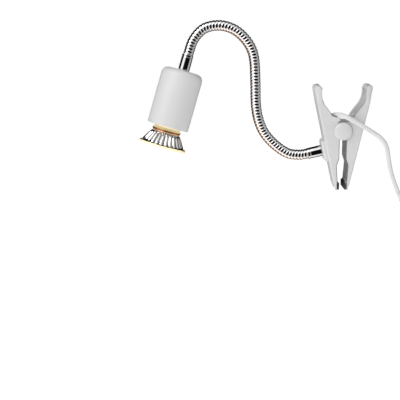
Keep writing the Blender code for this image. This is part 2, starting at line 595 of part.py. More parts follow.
def bulb(head):
    base, front = BULB_BASE, BULB_BASE + BULB_LENGTH
    shoulder = base + 28.2 * MM
    collar_end = shoulder + GAP + 6 * MM
    cup = [(0, base), (9.4 * MM, base), (10 * MM, base + 0.6 * MM), (10 * MM, base + 11 * MM),
           (12.6 * MM, base + 20 * MM), (14 * MM, shoulder), (12 * MM, shoulder), (10.4 * MM, base + 20 * MM),
           (8 * MM, base + 11 * MM), (8 * MM, base + 4 * MM), (0, base + 4 * MM)]
    turned("bulb_base", cup, CERAMIC, head, steps=20)
    for name, side in (("bulb_pin_left", -1), ("bulb_pin_right", 1)):
        place = head @ Matrix.Translation((side * PIN_SPACING / 2, 0, base - GAP))
        outline = [(0, 0), (PIN_STEM, 0), (PIN_STEM, -3.6 * MM), (PIN_HEAD, -3.6 * MM), (PIN_HEAD, -6.0 * MM),
                   (0, -6.0 * MM)]
        turned(name, outline, STEEL, place, steps=12)
    neck_radius = COLLAR_RADIUS - 3.3 * MM
    low = shoulder + GAP
    ring = [(neck_radius + GAP, low), (COLLAR_RADIUS - 0.8 * MM, low), (COLLAR_RADIUS, low + 1.2 * MM),
            (COLLAR_RADIUS, collar_end - 1.2 * MM), (COLLAR_RADIUS - 0.8 * MM, collar_end),
            (neck_radius + GAP, collar_end)]
    turned("bulb_collar", ring, BRASS, head, steps=20)
    rim = front - 2.4 * MM
    flare = collar_end + GAP
    shell = [(neck_radius, low), (neck_radius, flare), (COLLAR_RADIUS - 0.6 * MM, flare),
             (COLLAR_RADIUS + 0.4 * MM, flare + 2 * MM), (19.2 * MM, flare + 7 * MM),
             (22.9 * MM, rim - 1.0 * MM),
             (BULB_RIM, rim - 0.9 * MM), (BULB_RIM, rim), (22.2 * MM, rim), (18 * MM, flare + 7 * MM),
             (14 * MM, flare + 1.5 * MM), (neck_radius - 1.2 * MM, flare - 1 * MM),
             (neck_radius - 1.2 * MM, low)]
    turned("bulb_reflector", shell, SILVER, head, steps=32)
    capsule = [(0, base + 4.4 * MM), (4.6 * MM, base + 4.4 * MM), (4.6 * MM, base + 26 * MM),
               (4.2 * MM, base + 37 * MM), (2.6 * MM, base + 39.6 * MM), (0, base + 40.4 * MM)]
    turned("bulb_capsule", capsule, GLASS, head, steps=16)
    lens = [(0, rim + GAP), (BULB_RIM, rim + GAP), (BULB_RIM, front - 0.8 * MM),
            (BULB_RIM - 0.8 * MM, front), (0, front)]
    turned("bulb_front_glass", lens, GLASS, head, steps=32)


# ---- cord ------------------------------------------------------------------------------------

def cord_anchor():
    """The tapered strain relief in the lamp's jaw, and the two leads from it into the neck."""
    end = Vector(ANCHOR_END) * MM
    way = (Vector((-0.219, 0, 0.976))).normalized()
    length = ANCHOR_LENGTH
    outline = [(0, 0), (4.2 * MM, 0), (4.2 * MM, 3 * MM), (3.9 * MM, 3.6 * MM), (3.3 * MM, length),
               (0, length)]
    turned("cord_anchor", outline, WHITE, frame_at(end - way * (length + GAP), way), steps=16)
    for name, shift in (("jaw_lead_rear", 0.95), ("jaw_lead_front", -0.95)):
        route = [(x, y + shift, z) for x, y, z in LEAD_FROM_ANCHOR]
        wire(name, smooth_route(route, 1.6) * MM, LEAD_RADIUS, COPPER)


def cord():
    wire("cord_from_jaw", smooth_route(CORD_FROM_JAW, 6) * MM, CORD_RADIUS, CORD)
    lowest = (TABLE + CORD_RADIUS) / MM
    down = [(x, y, max(z, lowest)) for x, y, z in CORD_TO_COIL]
    wire("cord_to_coil", smooth_route(down, 8) * MM, CORD_RADIUS, CORD)
    over = [(x, y, COIL_TOP / MM + z) for x, y, z in CORD_TO_PLUG]
    wire("cord_to_plug", smooth_route(over, 6) * MM, CORD_RADIUS, CORD)
    low, high = TABLE + COIL_LIFT, COIL_TOP
    inner, outer = COIL_RADIUS - COIL_WIDTH / 2, COIL_RADIUS + COIL_WIDTH / 2
    edge = 1.5 * MM
    ring = [(inner, low + edge), (inner + edge, low), (outer - edge, low), (outer, low + edge),
            (outer, high - edge), (outer - edge, high), (inner + edge, high), (inner, high - edge)]
    turned("cord_coil", ring, CORD, Matrix.Translation((*COIL_CENTRE, 0)), steps=36)
    hole = (COIL_WIDTH / 2 + GAP, COIL_HEIGHT / 2 + GAP)
    band = (hole[0] + TIE, hole[1] + TIE)
    middle = Matrix.Translation((COIL_CENTRE[0], COIL_CENTRE[1] - COIL_RADIUS, (low + high) / 2))
    strap = block("cord_tie", (TIE_WIDTH, 2 * band[0], 2 * band[1]), (0, 0, 0), RUBBER, middle)
    boolean(strap, block("tie_hole", (TIE_WIDTH * 2, 2 * hole[0], 2 * hole[1]), (0, 0, 0), None, middle))


def switch():
    width, depth, length = SWITCH_SIZE
    place = Matrix.Translation(SWITCH_PLACE)
    corner = 6.5 * MM
    outline = []
    for x, z, start in ((1, 1, 0), (-1, 1, 90), (-1, -1, 180), (1, -1, 270)):
        outline += arc((x * (width / 2 - corner), z * (length / 2 - corner)), corner, start, start + 90, 5)
    inside = [(x * (1 - 2 * SWITCH_WALL / width), z * (1 - 2 * SWITCH_WALL / length)) for x, z in outline]
    for name, back in (("switch_front_shell", -1), ("switch_rear_shell", 1)):
        half = depth / 2 - GAP / 2
        middle = Matrix.Translation((0, back * (half / 2 + GAP / 2), 0))
        on_edge = place @ middle @ Matrix.Rotation(math.pi / 2, 4, "X")
        shell = plate(name, outline, half, WHITE, on_edge)
        shift = Matrix.Translation((0, -back * SWITCH_WALL, 0))
        inward = place @ shift @ middle @ Matrix.Rotation(math.pi / 2, 4, "X")
        boolean(shell, plate(name + "_hollow", inside, half, None, inward))
        boolean(shell, rod(name + "_cord_hole", CORD_RADIUS + GAP, (0, 0, -length), (0, 0, length),
                           None, place))
        if back < 0:
            window = (ROCKER_WIDTH + 2 * GAP, 8 * MM, ROCKER_LENGTH + 2.4 * MM)
            boolean(shell, block("rocker_window", window, (0, -depth / 2, 0), None, place))
    lean = Matrix.Rotation(math.radians(ROCKER_THROW), 4, "X")
    pivot = place @ Matrix.Translation((0, -3.0 * MM, 0)) @ lean
    side = ROCKER_LENGTH / 2
    profile = [(-side, 1.5 * MM), (-side, -4.9 * MM), (0, -4.0 * MM), (side, -4.9 * MM), (side, 1.5 * MM)]
    plate("switch_rocker", [(y, z) for z, y in profile], ROCKER_WIDTH, RUBBER,
          pivot @ Matrix.Rotation(math.pi / 2, 4, "Y") @ Matrix.Rotation(math.pi / 2, 4, "Z"))
    block("switch_contact", (6 * MM, 0.8 * MM, 26 * MM), (0, 3.6 * MM, 0), BRASS, place)


def plug():
    length, width, thick = PLUG_BODY
    pin_length, pin_radius, pin_spacing = PLUG_PIN
    place = frame_at(PLUG_PLACE, (-1, 0, 0))
    relief = [(0, GAP), (3.4 * MM, GAP), (4.6 * MM, PLUG_RELIEF - GAP), (0, PLUG_RELIEF - GAP)]
    turned("plug_relief", relief, CORD, place, steps=16)
    half = width / 2
    outline = [(-half * 0.45, 0), (half * 0.45, 0), (half, 9 * MM), (half, length), (-half, length),
               (-half, 9 * MM)]
    back = Vector(PLUG_PLACE) - Vector((PLUG_RELIEF, 0, 0))
    plate("plug_body", outline, thick, CORD, Matrix.Translation(back) @ Matrix.Rotation(math.pi / 2, 4, "Z"))
    for name, side in (("plug_pin_left", -1), ("plug_pin_right", 1)):
        x = PLUG_PLACE[0] - PLUG_RELIEF - length - GAP
        y = PLUG_PLACE[1] + side * pin_spacing / 2
        rod(name, pin_radius, (x, y, PLUG_PLACE[2]), (x - pin_length, y, PLUG_PLACE[2]), BRASS)


def build():
    lamp_jaw()
    jaw("lever_jaw", 1)
    hinge()
    pads()
    neck()
    outward = frame_at(BOSS_FACE - INTO_JAW * BASE_FERRULE, INTO_JAW)
    ferrule("base_ferrule", BASE_FERRULE, outward)
    washer_and_nut("base", BOSS_SIZE[2] + BACK_PLATE + GAP, BASE_FRAME)
    head = head_frame()
    ferrule("head_ferrule", HEAD_FERRULE, head)
    washer_and_nut("head", HEAD_FERRULE + HOUSING_TOP + BRACKET + 2 * GAP, head)
    housing(head)
    socket(head, bracket(head))
    bulb(head)
    cord_anchor()
    cord()
    switch()
    plug()


build()
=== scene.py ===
import math

import bpy
import numpy as np
from bpy.props import FloatProperty, FloatVectorProperty, IntProperty, PointerProperty
from bpy.types import Operator, Panel, PropertyGroup
from mathutils import Matrix


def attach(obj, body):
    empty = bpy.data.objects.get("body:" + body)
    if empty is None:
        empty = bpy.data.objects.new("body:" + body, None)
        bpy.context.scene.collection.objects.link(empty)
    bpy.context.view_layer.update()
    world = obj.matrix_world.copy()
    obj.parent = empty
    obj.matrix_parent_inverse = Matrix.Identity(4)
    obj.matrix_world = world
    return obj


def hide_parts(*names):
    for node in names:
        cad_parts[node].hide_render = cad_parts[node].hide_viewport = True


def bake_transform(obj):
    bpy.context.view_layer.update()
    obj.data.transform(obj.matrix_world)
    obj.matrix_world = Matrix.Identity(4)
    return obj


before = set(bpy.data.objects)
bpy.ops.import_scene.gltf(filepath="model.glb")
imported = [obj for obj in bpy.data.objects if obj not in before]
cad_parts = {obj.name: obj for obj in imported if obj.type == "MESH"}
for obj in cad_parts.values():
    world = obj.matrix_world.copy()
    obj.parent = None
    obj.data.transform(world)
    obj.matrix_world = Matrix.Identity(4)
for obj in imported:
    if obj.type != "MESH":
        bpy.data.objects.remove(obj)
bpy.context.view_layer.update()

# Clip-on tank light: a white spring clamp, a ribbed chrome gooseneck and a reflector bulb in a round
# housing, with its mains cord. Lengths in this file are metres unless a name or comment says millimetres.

bl_info = {
    "name": "Clip-on tank light",
    "version": (1, 0, 0),
    "blender": (4, 5, 0),
    "location": "View3D > Sidebar > Tank light",
    "description": "Makes a clip-on gooseneck tank light piece by piece",
    "category": "Add Mesh",
}

MM = 0.001

# Where things are, in millimetres, as in the part
PIVOT = np.array([2.5, 0.0, 60.0])  # the clamp's hinge pin
CLAMP_HALF = 14.0  # half of the clamp's depth
FLANGE = 2.0
BACK_PLATE = 2.3
JAW_TILT = math.atan(13.0 / 58.0)  # the outer face of a jaw leans this much
INTO_JAW = np.array([math.cos(JAW_TILT), 0.0, math.sin(JAW_TILT)])
BOSS_FACE = np.array([-18.093, 0.0, 37.202])  # middle of the face that the ferrule meets
BOSS_PROUD = 4.1
FERRULE_RADIUS = 6.0
BASE_FERRULE = 16.0
HEAD_FERRULE = 17.4
HOSE_RADIUS = 5.5
GROOVE_POWER = 3.2  # a higher power makes the hose's grooves narrower
NECK_ROUTE = [
    (-33.705, 0.0, 33.704), (-43.0, 0.0, 32.7), (-55.5, 0.0, 34.8), (-69.6, 0.0, 44.7), (-80.4, 0.0, 57.2),
    (-86.6, 0.0, 71.9), (-89.3, 0.0, 88.2), (-90.0, 0.0, 111.2), (-91.2, 0.0, 133.5), (-94.6, 0.0, 146.5),
    (-102.6, 0.0, 158.2), (-114.0, 0.0, 167.0), (-128.6, 0.0, 170.7), (-144.3, -0.2, 167.4),
    (-155.3, -1.0, 155.9), (-161.0, -2.4, 140.9)
]
NECK_BODIES = ["clamp", "neck_2", "neck_3", "neck_4", "neck_5", "neck_6", "head"]
HEAD_ORIGIN = np.array([-161.0, -2.4, 140.9])
HEAD_AXIS = np.array([-0.28402, -0.10501, -0.95305])
HOUSING_RADIUS = 22.25
HOUSING_TOP, HOUSING_END = 17.4, 78.6
BULB_RIM = 25.35
COLLAR_TOP, COLLAR_END = 79.0, 85.0  # along the head's axis, like the next two
GLASS_TOP, GLASS_END = 98.95, 101.0
TABLE = -166.7
CORD_RADIUS = 2.5
COIL_CENTRE = np.array([131.0, 3.5])
COIL_LOW, COIL_HIGH = -162.9, -157.9  # middles of the coil's two layers
COIL_OUTER, COIL_TURN = 35.0, 5.0
COIL_START = -112.7  # degrees: where the cord meets the outer turn
COIL_SWEEP = 1912.7  # degrees: five and a third turns
SWITCH = np.array([82.0, -14.0, -86.0])
PLUG_ENTRY = np.array([146.0, 21.5, -148.6])
CORD_FROM_JAW = [
    (-12.3, 2.9, 63.6), (-12.3, 2.2, 67.8), (-10.6, -0.5, 72.8), (-7.5, -5.1, 76.2), (-3.3, -11.1, 77.7),
    (1.6, -16.2, 77.1), (8.2, -19.3, 74.3), (16.5, -20.2, 69.6), (25.5, -20.0, 64.0), (35.1, -20.0, 58.0),
    (44.0, -19.6, 51.0), (49.0, -18.5, 42.0), (51.0, -16.5, 30.5), (55.0, -14.5, 14.8), (61.5, -13.0, -3.0),
    (68.5, -13.0, -18.0), (76.0, -13.5, -34.0), (81.0, -14.0, -46.5), (82.0, -14.0, -57.6)
]
CORD_TO_COIL = [
    (82.0, -13.5, -72.0), (82.0, -13.4, -86.0), (82.0, -13.5, -100.0), (82.0, -14.0, -114.4),
    (82.0, -14.0, -125.0), (82.1, -14.0, -136.0), (83.3, -14.5, -147.0), (87.6, -16.3, -156.8),
    (94.0, -19.0, -162.7), (100.0, -21.5, -164.2), (108.0, -24.8, -163.6)
]
CORD_TO_PLUG = [
    (164.8, 8.3, -152.3), (161.8, 13.8, -151.0), (157.5, 17.9, -149.8), (152.2, 20.5, -148.9),
    (146.3, 21.5, -148.6)
]

CAMERA_PLACE = (-0.1591, -1.0416, 0.225)  # metres
CAMERA_TURN = (13.06, 0.53, -0.36)  # degrees down, to the right, and rolled
CAMERA_LENS, CAMERA_SENSOR = 88.4, 36.0
FLOOR_REACH = 60.0  # metres
# MIRROR is the reflector's own colour; the second colour is painted shade for the valleys between its flutes.
MIRROR, PAINTED_VALLEY_SHADE = (0.9, 0.89, 0.87), (0.2, 0.19, 0.18)


# ---- sizes and colours that a user would change ----

class LampSizes(PropertyGroup):
    rib_pitch: FloatProperty(name="Rib pitch", description="From one rib of the gooseneck to the next",
                             default=3.3 * MM, min=1 * MM, unit="LENGTH")
    rib_depth: FloatProperty(name="Rib depth", description="Depth of the groove between two ribs",
                             default=0.85 * MM, min=0, unit="LENGTH")
    flutes: IntProperty(name="Flutes", description="Upright ridges round the bulb's reflector",
                        default=26, min=8)
    flute_depth: FloatProperty(name="Flute depth", description="From a ridge to the valley beside it",
                               default=1.7 * MM, min=0, unit="LENGTH")
    edge_round: FloatProperty(name="Edge rounding", description="Rounding of the clamp's outer edges",
                              default=2.0 * MM, min=0.2 * MM, unit="LENGTH")


def colour_property(name, description, value):
    return FloatVectorProperty(name=name, description=description, default=value, size=3, min=0, max=1,
                               subtype="COLOR")


class LampColours(PropertyGroup):
    clamp: colour_property("Clamp", "Moulded plastic of the jaws and caps", (0.72, 0.72, 0.72))
    housing: colour_property("Housing", "Glossy plastic round the bulb", (0.72, 0.72, 0.725))
    chrome: colour_property("Chrome", "Plating of the gooseneck and ferrules", (0.86, 0.86, 0.87))
    # The collar colour is the pale painted highlight on the gold ring.
    collar: colour_property("Collar", "Pale band of the gold ring above the reflector", (1.0, 0.84, 0.5))
    glow: colour_property("Glow", "Light of the bulb", (1.0, 0.83, 0.55))
    cord: colour_property("Cord", "Soft plastic of the cord and plug", (0.78, 0.78, 0.775))
    rubber: colour_property("Rubber", "Pads on the jaws", (0.06, 0.06, 0.065))
    rocker: colour_property("Rocker", "Switch rocker", (0.3, 0.31, 0.32))
    floor: colour_property("Floor", "Table or studio floor", (0.9, 0.9, 0.9))


# ---- shapes worked out as whole arrays ----

def unit(vectors):
    return vectors / np.linalg.norm(vectors, axis=-1, keepdims=True)


def quarter_turn(steps):
    return np.linspace(0, math.pi / 2, steps)


def axes_at(origin, axis, hint=(0.0, 1.0, 0.0)):
    """An origin and three directions: the third runs along axis and the second stays near hint."""
    z = unit(np.array(axis, float))
    x = unit(np.cross(np.array(hint, float), z))
    return np.array(origin, float), np.stack([x, np.cross(z, x), z])


def placed(points, axes):
    """origin + x*axis_x + y*axis_y + z*axis_z for every point at once."""
    origin, ways = axes
    return origin + points @ ways


HEAD = axes_at(HEAD_ORIGIN, HEAD_AXIS)
FERRULE_AXES = axes_at(BOSS_FACE - INTO_JAW * BASE_FERRULE, INTO_JAW)
BOSS_AXES = axes_at(BOSS_FACE, INTO_JAW)


def softened(outline, rounding, steps=6, closed=False):
    """Each corner becomes a parabola (1-t)^2 A + 2t(1-t) P + t^2 C that starts and ends the rounding's
    distance from the corner P. Distances and roundings are in the outline's own unit."""
    p = np.array(outline, float)
    before, after = np.roll(p, 1, 0), np.roll(p, -1, 0)
    if not closed:
        before[0], after[-1] = p[0], p[-1]
    reach = np.broadcast_to(np.array(rounding, float), (len(p),))
    t = np.linspace(0, 1, steps)[None, :, None]

    def towards(other):
        gap = np.linalg.norm(other - p, axis=1)
        share = np.minimum(reach, 0.48 * gap) / np.maximum(gap, 1e-9)
        return (p + (other - p) * share[:, None])[:, None]

    curve = towards(before) * (1 - t) ** 2 + 2 * t * (1 - t) * p[:, None] + towards(after) * t**2
    made = curve.reshape(-1, p.shape[1])
    step = np.linalg.norm(np.diff(made, axis=0), axis=1)
    made = made[np.concatenate([[True], step > 1e-6])]
    if closed and np.linalg.norm(made[0] - made[-1]) < 1e-6:
        made = made[:-1]
    return made


def smooth_route(points, spacing):
    """Points a set distance apart on the cubic a(2t^3-3t^2+1) + b(3t^2-2t^3) + c(t^3-2t^2+t) + d(t^3-t^2)
    between neighbours a and b, with slopes c and d taken across their own neighbours."""
    route = np.array(points, float)
    before = np.vstack([2 * route[0] - route[1], route[:-1]])
    after = np.vstack([route[1:], 2 * route[-1] - route[-2]])
    slope = (after - before) / 2
    t = np.linspace(0, 1, 24, endpoint=False)[None, :, None]
    a, b, c, d = route[:-1, None], route[1:, None], slope[:-1, None], slope[1:, None]
    dense = (a * (2 * t**3 - 3 * t**2 + 1) + b * (3 * t**2 - 2 * t**3) + c * (t**3 - 2 * t**2 + t)
             + d * (t**3 - t**2)).reshape(-1, 3)
    return evenly(np.vstack([dense, route[-1:]]), spacing)


def along(points):
    return np.concatenate([[0], np.cumsum(np.linalg.norm(np.diff(points, axis=0), axis=1))])


def evenly(points, spacing):
    """The same line, read off at equal distances."""
    length = along(points)
    wanted = np.linspace(0, length[-1], max(3, int(round(length[-1] / spacing)) + 1))
    return np.column_stack([np.interp(wanted, length, points[:, i]) for i in range(3)])


def tangents(points):
    return unit(np.gradient(points, axis=0))


def ring_mesh(name, grid, looped=False, sharp=50.0):
    """A mesh from rows of rings, in millimetres. Neighbouring rows are joined by quads. The two end rings are
    closed by a fan to their middle, or joined to each other when looped. Faces are turned outwards by the
    sign of the enclosed volume."""
    rows, ring = grid.shape[:2]
    index = np.arange(rows * ring).reshape(rows, ring)
    low, high = (index, np.roll(index, -1, 0)) if looped else (index[:-1], index[1:])
    quads = np.stack([low, np.roll(low, -1, 1), np.roll(high, -1, 1), high], -1).reshape(-1, 4)
    points = grid.reshape(-1, 3) * MM
    fans = np.zeros((0, 3), int)
    if not looped:
        points = np.vstack([points, grid[0].mean(0) * MM, grid[-1].mean(0) * MM])
        first, last, n = index[0], index[-1], rows * ring
        fans = np.vstack([np.stack([np.roll(first, -1), first, np.full(ring, n)], -1),
                          np.stack([last, np.roll(last, -1), np.full(ring, n + 1)], -1)])
    triangles = np.vstack([quads[:, [0, 1, 2]], quads[:, [0, 2, 3]], fans])
    a, b, c = (points[triangles[:, i]] - points.mean(0) for i in range(3))
    if np.einsum("ij,ij->", a, np.cross(b, c)) < 0:
        quads, fans = quads[:, ::-1], fans[:, ::-1]
    mesh = bpy.data.meshes.new(name)
    mesh.from_pydata(points, [], quads.tolist() + fans.tolist())
    mesh.shade_smooth()
    mesh.set_sharp_from_angle(angle=math.radians(sharp))
    return mesh


def linked(name, data):
    made = bpy.data.objects.new(name, data)
    bpy.context.scene.collection.objects.link(made)
    return made


def piece(name, grid, finish, body=None, stands_in=True, looped=False, sharp=50.0):
    """Makes a finished surface, and says what it rides on. One that stands in for a solid of
    the part is given that solid's name, and is called new_ and the name."""
    solid, name = name, "new_" + name if stands_in else name
    made = linked(name, ring_mesh(name, grid, looped, sharp))
    made.data.materials.append(bpy.data.materials[finish])
    if body:
        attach(made, body)
    if stands_in:
        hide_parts(solid)
    return made


def turned(profile, axes, steps=48, ripple=None):
    """A profile of (radius, height) turned about the third axis: x = r cos a, y = r sin a, z = h.
    ripple(radius, height, angle) may change the radius round the turn."""
    profile = np.array(profile, float)
    angle = np.linspace(0, 2 * math.pi, steps, endpoint=False)[None]
    radius, height = profile[:, :1] + 0 * angle, profile[:, 1:] + 0 * angle
    if ripple:
        radius = ripple(radius, height, angle + 0 * radius)
    return placed(np.stack([radius * np.cos(angle), radius * np.sin(angle), height], -1), axes)


def swept(path, radius, hint, sides=12):
    """A round tube: path + r (cos a * side + sin a * other), side at right angles to the path and to hint."""
    way = tangents(path)
    side = unit(np.cross(np.broadcast_to(hint, way.shape), way))
    other = np.cross(way, side)
    angle = np.linspace(0, 2 * math.pi, sides, endpoint=False)[None, :, None]
    return path[:, None] + radius * (np.cos(angle) * side[:, None] + np.sin(angle) * other[:, None])


def slab(rows, axes, quarter=6):
    """Rounded rectangles stacked along the third axis. Each row is (half width, half depth, corner, height):
    a corner's points are (w - c) + c cos a and (d - c) + c sin a, the same number in every corner."""
    half_x, half_y, corner, height = (np.array(rows, float)[:, i, None] for i in range(4))
    turn = quarter_turn(quarter)
    angle = (turn[None] + np.arange(4)[:, None] * math.pi / 2).reshape(1, -1)
    middle = (np.arange(4)[:, None] * math.pi / 2 + math.pi / 4 + 0 * turn[None]).reshape(1, -1)
    x = np.sign(np.cos(middle)) * (half_x - corner) + corner * np.cos(angle)
    y = np.sign(np.sin(middle)) * (half_y - corner) + corner * np.sin(angle)
    return placed(np.stack([x, y, height + 0 * x], -1), axes)


# ---- finishes ----

def feed(tree, value, socket):
    """Sets a socket to a number, or links another node's output to it."""
    if isinstance(value, (int, float)):
        socket.default_value = value
    else:
        tree.links.new(value, socket)


def noise(tree, scale, detail, vector):
    node = tree.nodes.new("ShaderNodeTexNoise")
    node.inputs["Detail"].default_value = detail
    feed(tree, scale, node.inputs["Scale"])
    tree.links.new(vector, node.inputs["Vector"])
    return node.outputs["Fac"]


def arithmetic(tree, kind, a, b=0.0):
    node = tree.nodes.new("ShaderNodeMath")
    node.operation = kind
    for socket, value in zip(node.inputs, (a, b)):
        feed(tree, value, socket)
    return node.outputs[0]


def coordinates(tree, kind="Object"):
    return tree.nodes.new("ShaderNodeTexCoord").outputs[kind]


def measured(tree, kind, place, other):
    """A number between place and a fixed vector, such as their DOT_PRODUCT or DISTANCE."""
    node = tree.nodes.new("ShaderNodeVectorMath")
    node.operation = kind
    tree.links.new(place, node.inputs[0])
    node.inputs[1].default_value = other
    return node.outputs["Value"]


def ramp(tree, value, stops):
    """A colour by value, with stops of (position, colour) in rising order."""
    node = tree.nodes.new("ShaderNodeValToRGB")
    elements = node.color_ramp.elements
    for number, (position, colour) in enumerate(stops):
        stop = elements[number] if number < 2 else elements.new(position)
        stop.position, stop.color = position, (*colour, 1)
    tree.links.new(value, node.inputs["Fac"])
    return node.outputs["Color"]


def surface_skin():
    """One group for every finish: a fine grain in the height, cloudy patches in the roughness and a faint
    handling tone in the colour."""
    group = bpy.data.node_groups.new("handled_surface", "ShaderNodeTree")
    for label, kind, value in [("Colour", "Color", (0.8, 0.8, 0.8, 1)), ("Roughness", "Float", 0.4),
                               ("Grain Scale", "Float", 900.0), ("Grain Depth", "Float", 0.1),
                               ("Patchiness", "Float", 0.08), ("Tone", "Float", 0.06)]:
        socket = group.interface.new_socket(label, in_out="INPUT", socket_type="NodeSocket" + kind)
        socket.default_value = value
    for label, kind in [("Colour", "Color"), ("Roughness", "Float"), ("Normal", "Vector")]:
        group.interface.new_socket(label, in_out="OUTPUT", socket_type="NodeSocket" + kind)
    start, end = group.nodes.new("NodeGroupInput"), group.nodes.new("NodeGroupOutput")
    place = coordinates(group)
    link = group.links.new
    patches = noise(group, 38.0, 4.0, place)
    grain = noise(group, start.outputs["Grain Scale"], 3.0, place)
    change = arithmetic(group, "MULTIPLY", arithmetic(group, "SUBTRACT", patches, 0.5),
                        start.outputs["Patchiness"])
    link(arithmetic(group, "ADD", start.outputs["Roughness"], change), end.inputs["Roughness"])
    darker = group.nodes.new("ShaderNodeMix")
    darker.data_type, darker.blend_type = "RGBA", "MULTIPLY"
    link(start.outputs["Colour"], darker.inputs["A"])
    tint = group.nodes.new("ShaderNodeCombineColor")
    tone = arithmetic(group, "SUBTRACT", 1.0, arithmetic(group, "MULTIPLY", patches, start.outputs["Tone"]))
    for channel in tint.inputs:
        link(tone, channel)
    link(tint.outputs[0], darker.inputs["B"])
    darker.inputs["Factor"].default_value = 1.0
    link(darker.outputs["Result"], end.inputs["Colour"])
    bump = group.nodes.new("ShaderNodeBump")
    bump.inputs["Distance"].default_value = 0.1 * MM
    link(start.outputs["Grain Depth"], bump.inputs["Strength"])
    link(grain, bump.inputs["Height"])
    link(bump.outputs["Normal"], end.inputs["Normal"])


def finish(name, colour, roughness, metallic=0.0, grain=(900.0, 0.1), patchiness=0.08, tone=0.06, **plain):
    """A material whose colour, roughness and normal come through the shared skin. plain holds the shader
    sockets that are the same all over."""
    made = bpy.data.materials.new(name)
    made.use_nodes = True
    tree = made.node_tree
    shader = tree.nodes["Principled BSDF"]
    shader.inputs["Metallic"].default_value = metallic
    for socket, value in plain.items():
        shader.inputs[socket.replace("_", " ")].default_value = value
    skin = tree.nodes.new("ShaderNodeGroup")
    skin.node_tree = bpy.data.node_groups["handled_surface"]
    skin.inputs["Colour"].default_value = (*colour, 1)
    for label, value in (("Roughness", roughness), ("Grain Scale", grain[0]), ("Grain Depth", grain[1]),
                         ("Patchiness", patchiness), ("Tone", tone)):
        skin.inputs[label].default_value = value
    tree.links.new(skin.outputs["Colour"], shader.inputs["Base Color"])
    tree.links.new(skin.outputs["Roughness"], shader.inputs["Roughness"])
    tree.links.new(skin.outputs["Normal"], shader.inputs["Normal"])
    return made


def glowing(name, colour, strength, edge_colour, edge_strength):
    """A lit glass: its middle glows in full and its rim in a paler tone, by distance from the axis."""
    made = finish(name, edge_colour, 0.12, patchiness=0.04, tone=0.02, Emission_Strength=1.0)
    tree = made.node_tree
    middle = placed(np.array([0.0, 0.0, GLASS_END]), HEAD) * MM
    share = arithmetic(tree, "DIVIDE", measured(tree, "DISTANCE", coordinates(tree), middle), BULB_RIM * MM)
    glow = ramp(tree, share, [(0.35, [c * strength for c in colour]),
                              (0.9, [c * edge_strength for c in edge_colour])])
    tree.links.new(glow, tree.nodes["Principled BSDF"].inputs["Emission Color"])


def axis_reach(tree, number):
    """How far a place is along one of the bulb's three ways, in metres: (place - origin) . way."""
    origin, ways = HEAD
    reach = measured(tree, "DOT_PRODUCT", coordinates(tree), ways[number])
    return arithmetic(tree, "SUBTRACT", reach, float(np.dot(origin, ways[number])) * MM)


def coloured_by(made, value, stops):
    """Takes a finish's colour from a ramp over value, in place of its even colour."""
    tree = made.node_tree
    colour = ramp(tree, value, stops)
    skin = tree.nodes["Principled BSDF"].inputs["Base Color"].links[0].from_node
    tree.links.new(colour, skin.inputs["Colour"])
    return colour


def paint_flute_valley_shade(made, flutes):
    """Paints shade into the valleys between the flutes, standing in for their dark reflections, by |cos(n a /
    2)| with a the angle about the bulb's axis.
    """
    tree = made.node_tree
    turn = arithmetic(tree, "ARCTAN2", axis_reach(tree, 1), axis_reach(tree, 0))
    wave = arithmetic(tree, "COSINE", arithmetic(tree, "MULTIPLY", turn, flutes / 2))
    coloured_by(made, arithmetic(tree, "ABSOLUTE", wave), [(0.2, PAINTED_VALLEY_SHADE), (0.6, MIRROR)])


def paint_gold_reflection_and_glow(made, pale):
    """Gold with a painted reflection by the height along the axis: a pale painted highlight toward the housing
    and a brown painted dark band toward the reflector. The same colours also feed its painted glow.
    """
    tree = made.node_tree
    height = arithmetic(tree, "SUBTRACT", axis_reach(tree, 2), COLLAR_TOP * MM)
    share = arithmetic(tree, "DIVIDE", height, (COLLAR_END - COLLAR_TOP) * MM)
    # Painted reflection: a pale painted highlight, then dark brown painted shade, then a lighter painted band
    # at the lip.
    painted_reflection = coloured_by(made, share, [(0.46, pale), (0.58, (0.3, 0.14, 0.04)), (0.8, (0.24, 0.1, 0.03)),
                                      (0.94, (0.8, 0.55, 0.38))])
    # The painted reflection also goes to the emission, as a painted glow.
    tree.links.new(painted_reflection, tree.nodes["Principled BSDF"].inputs["Emission Color"])


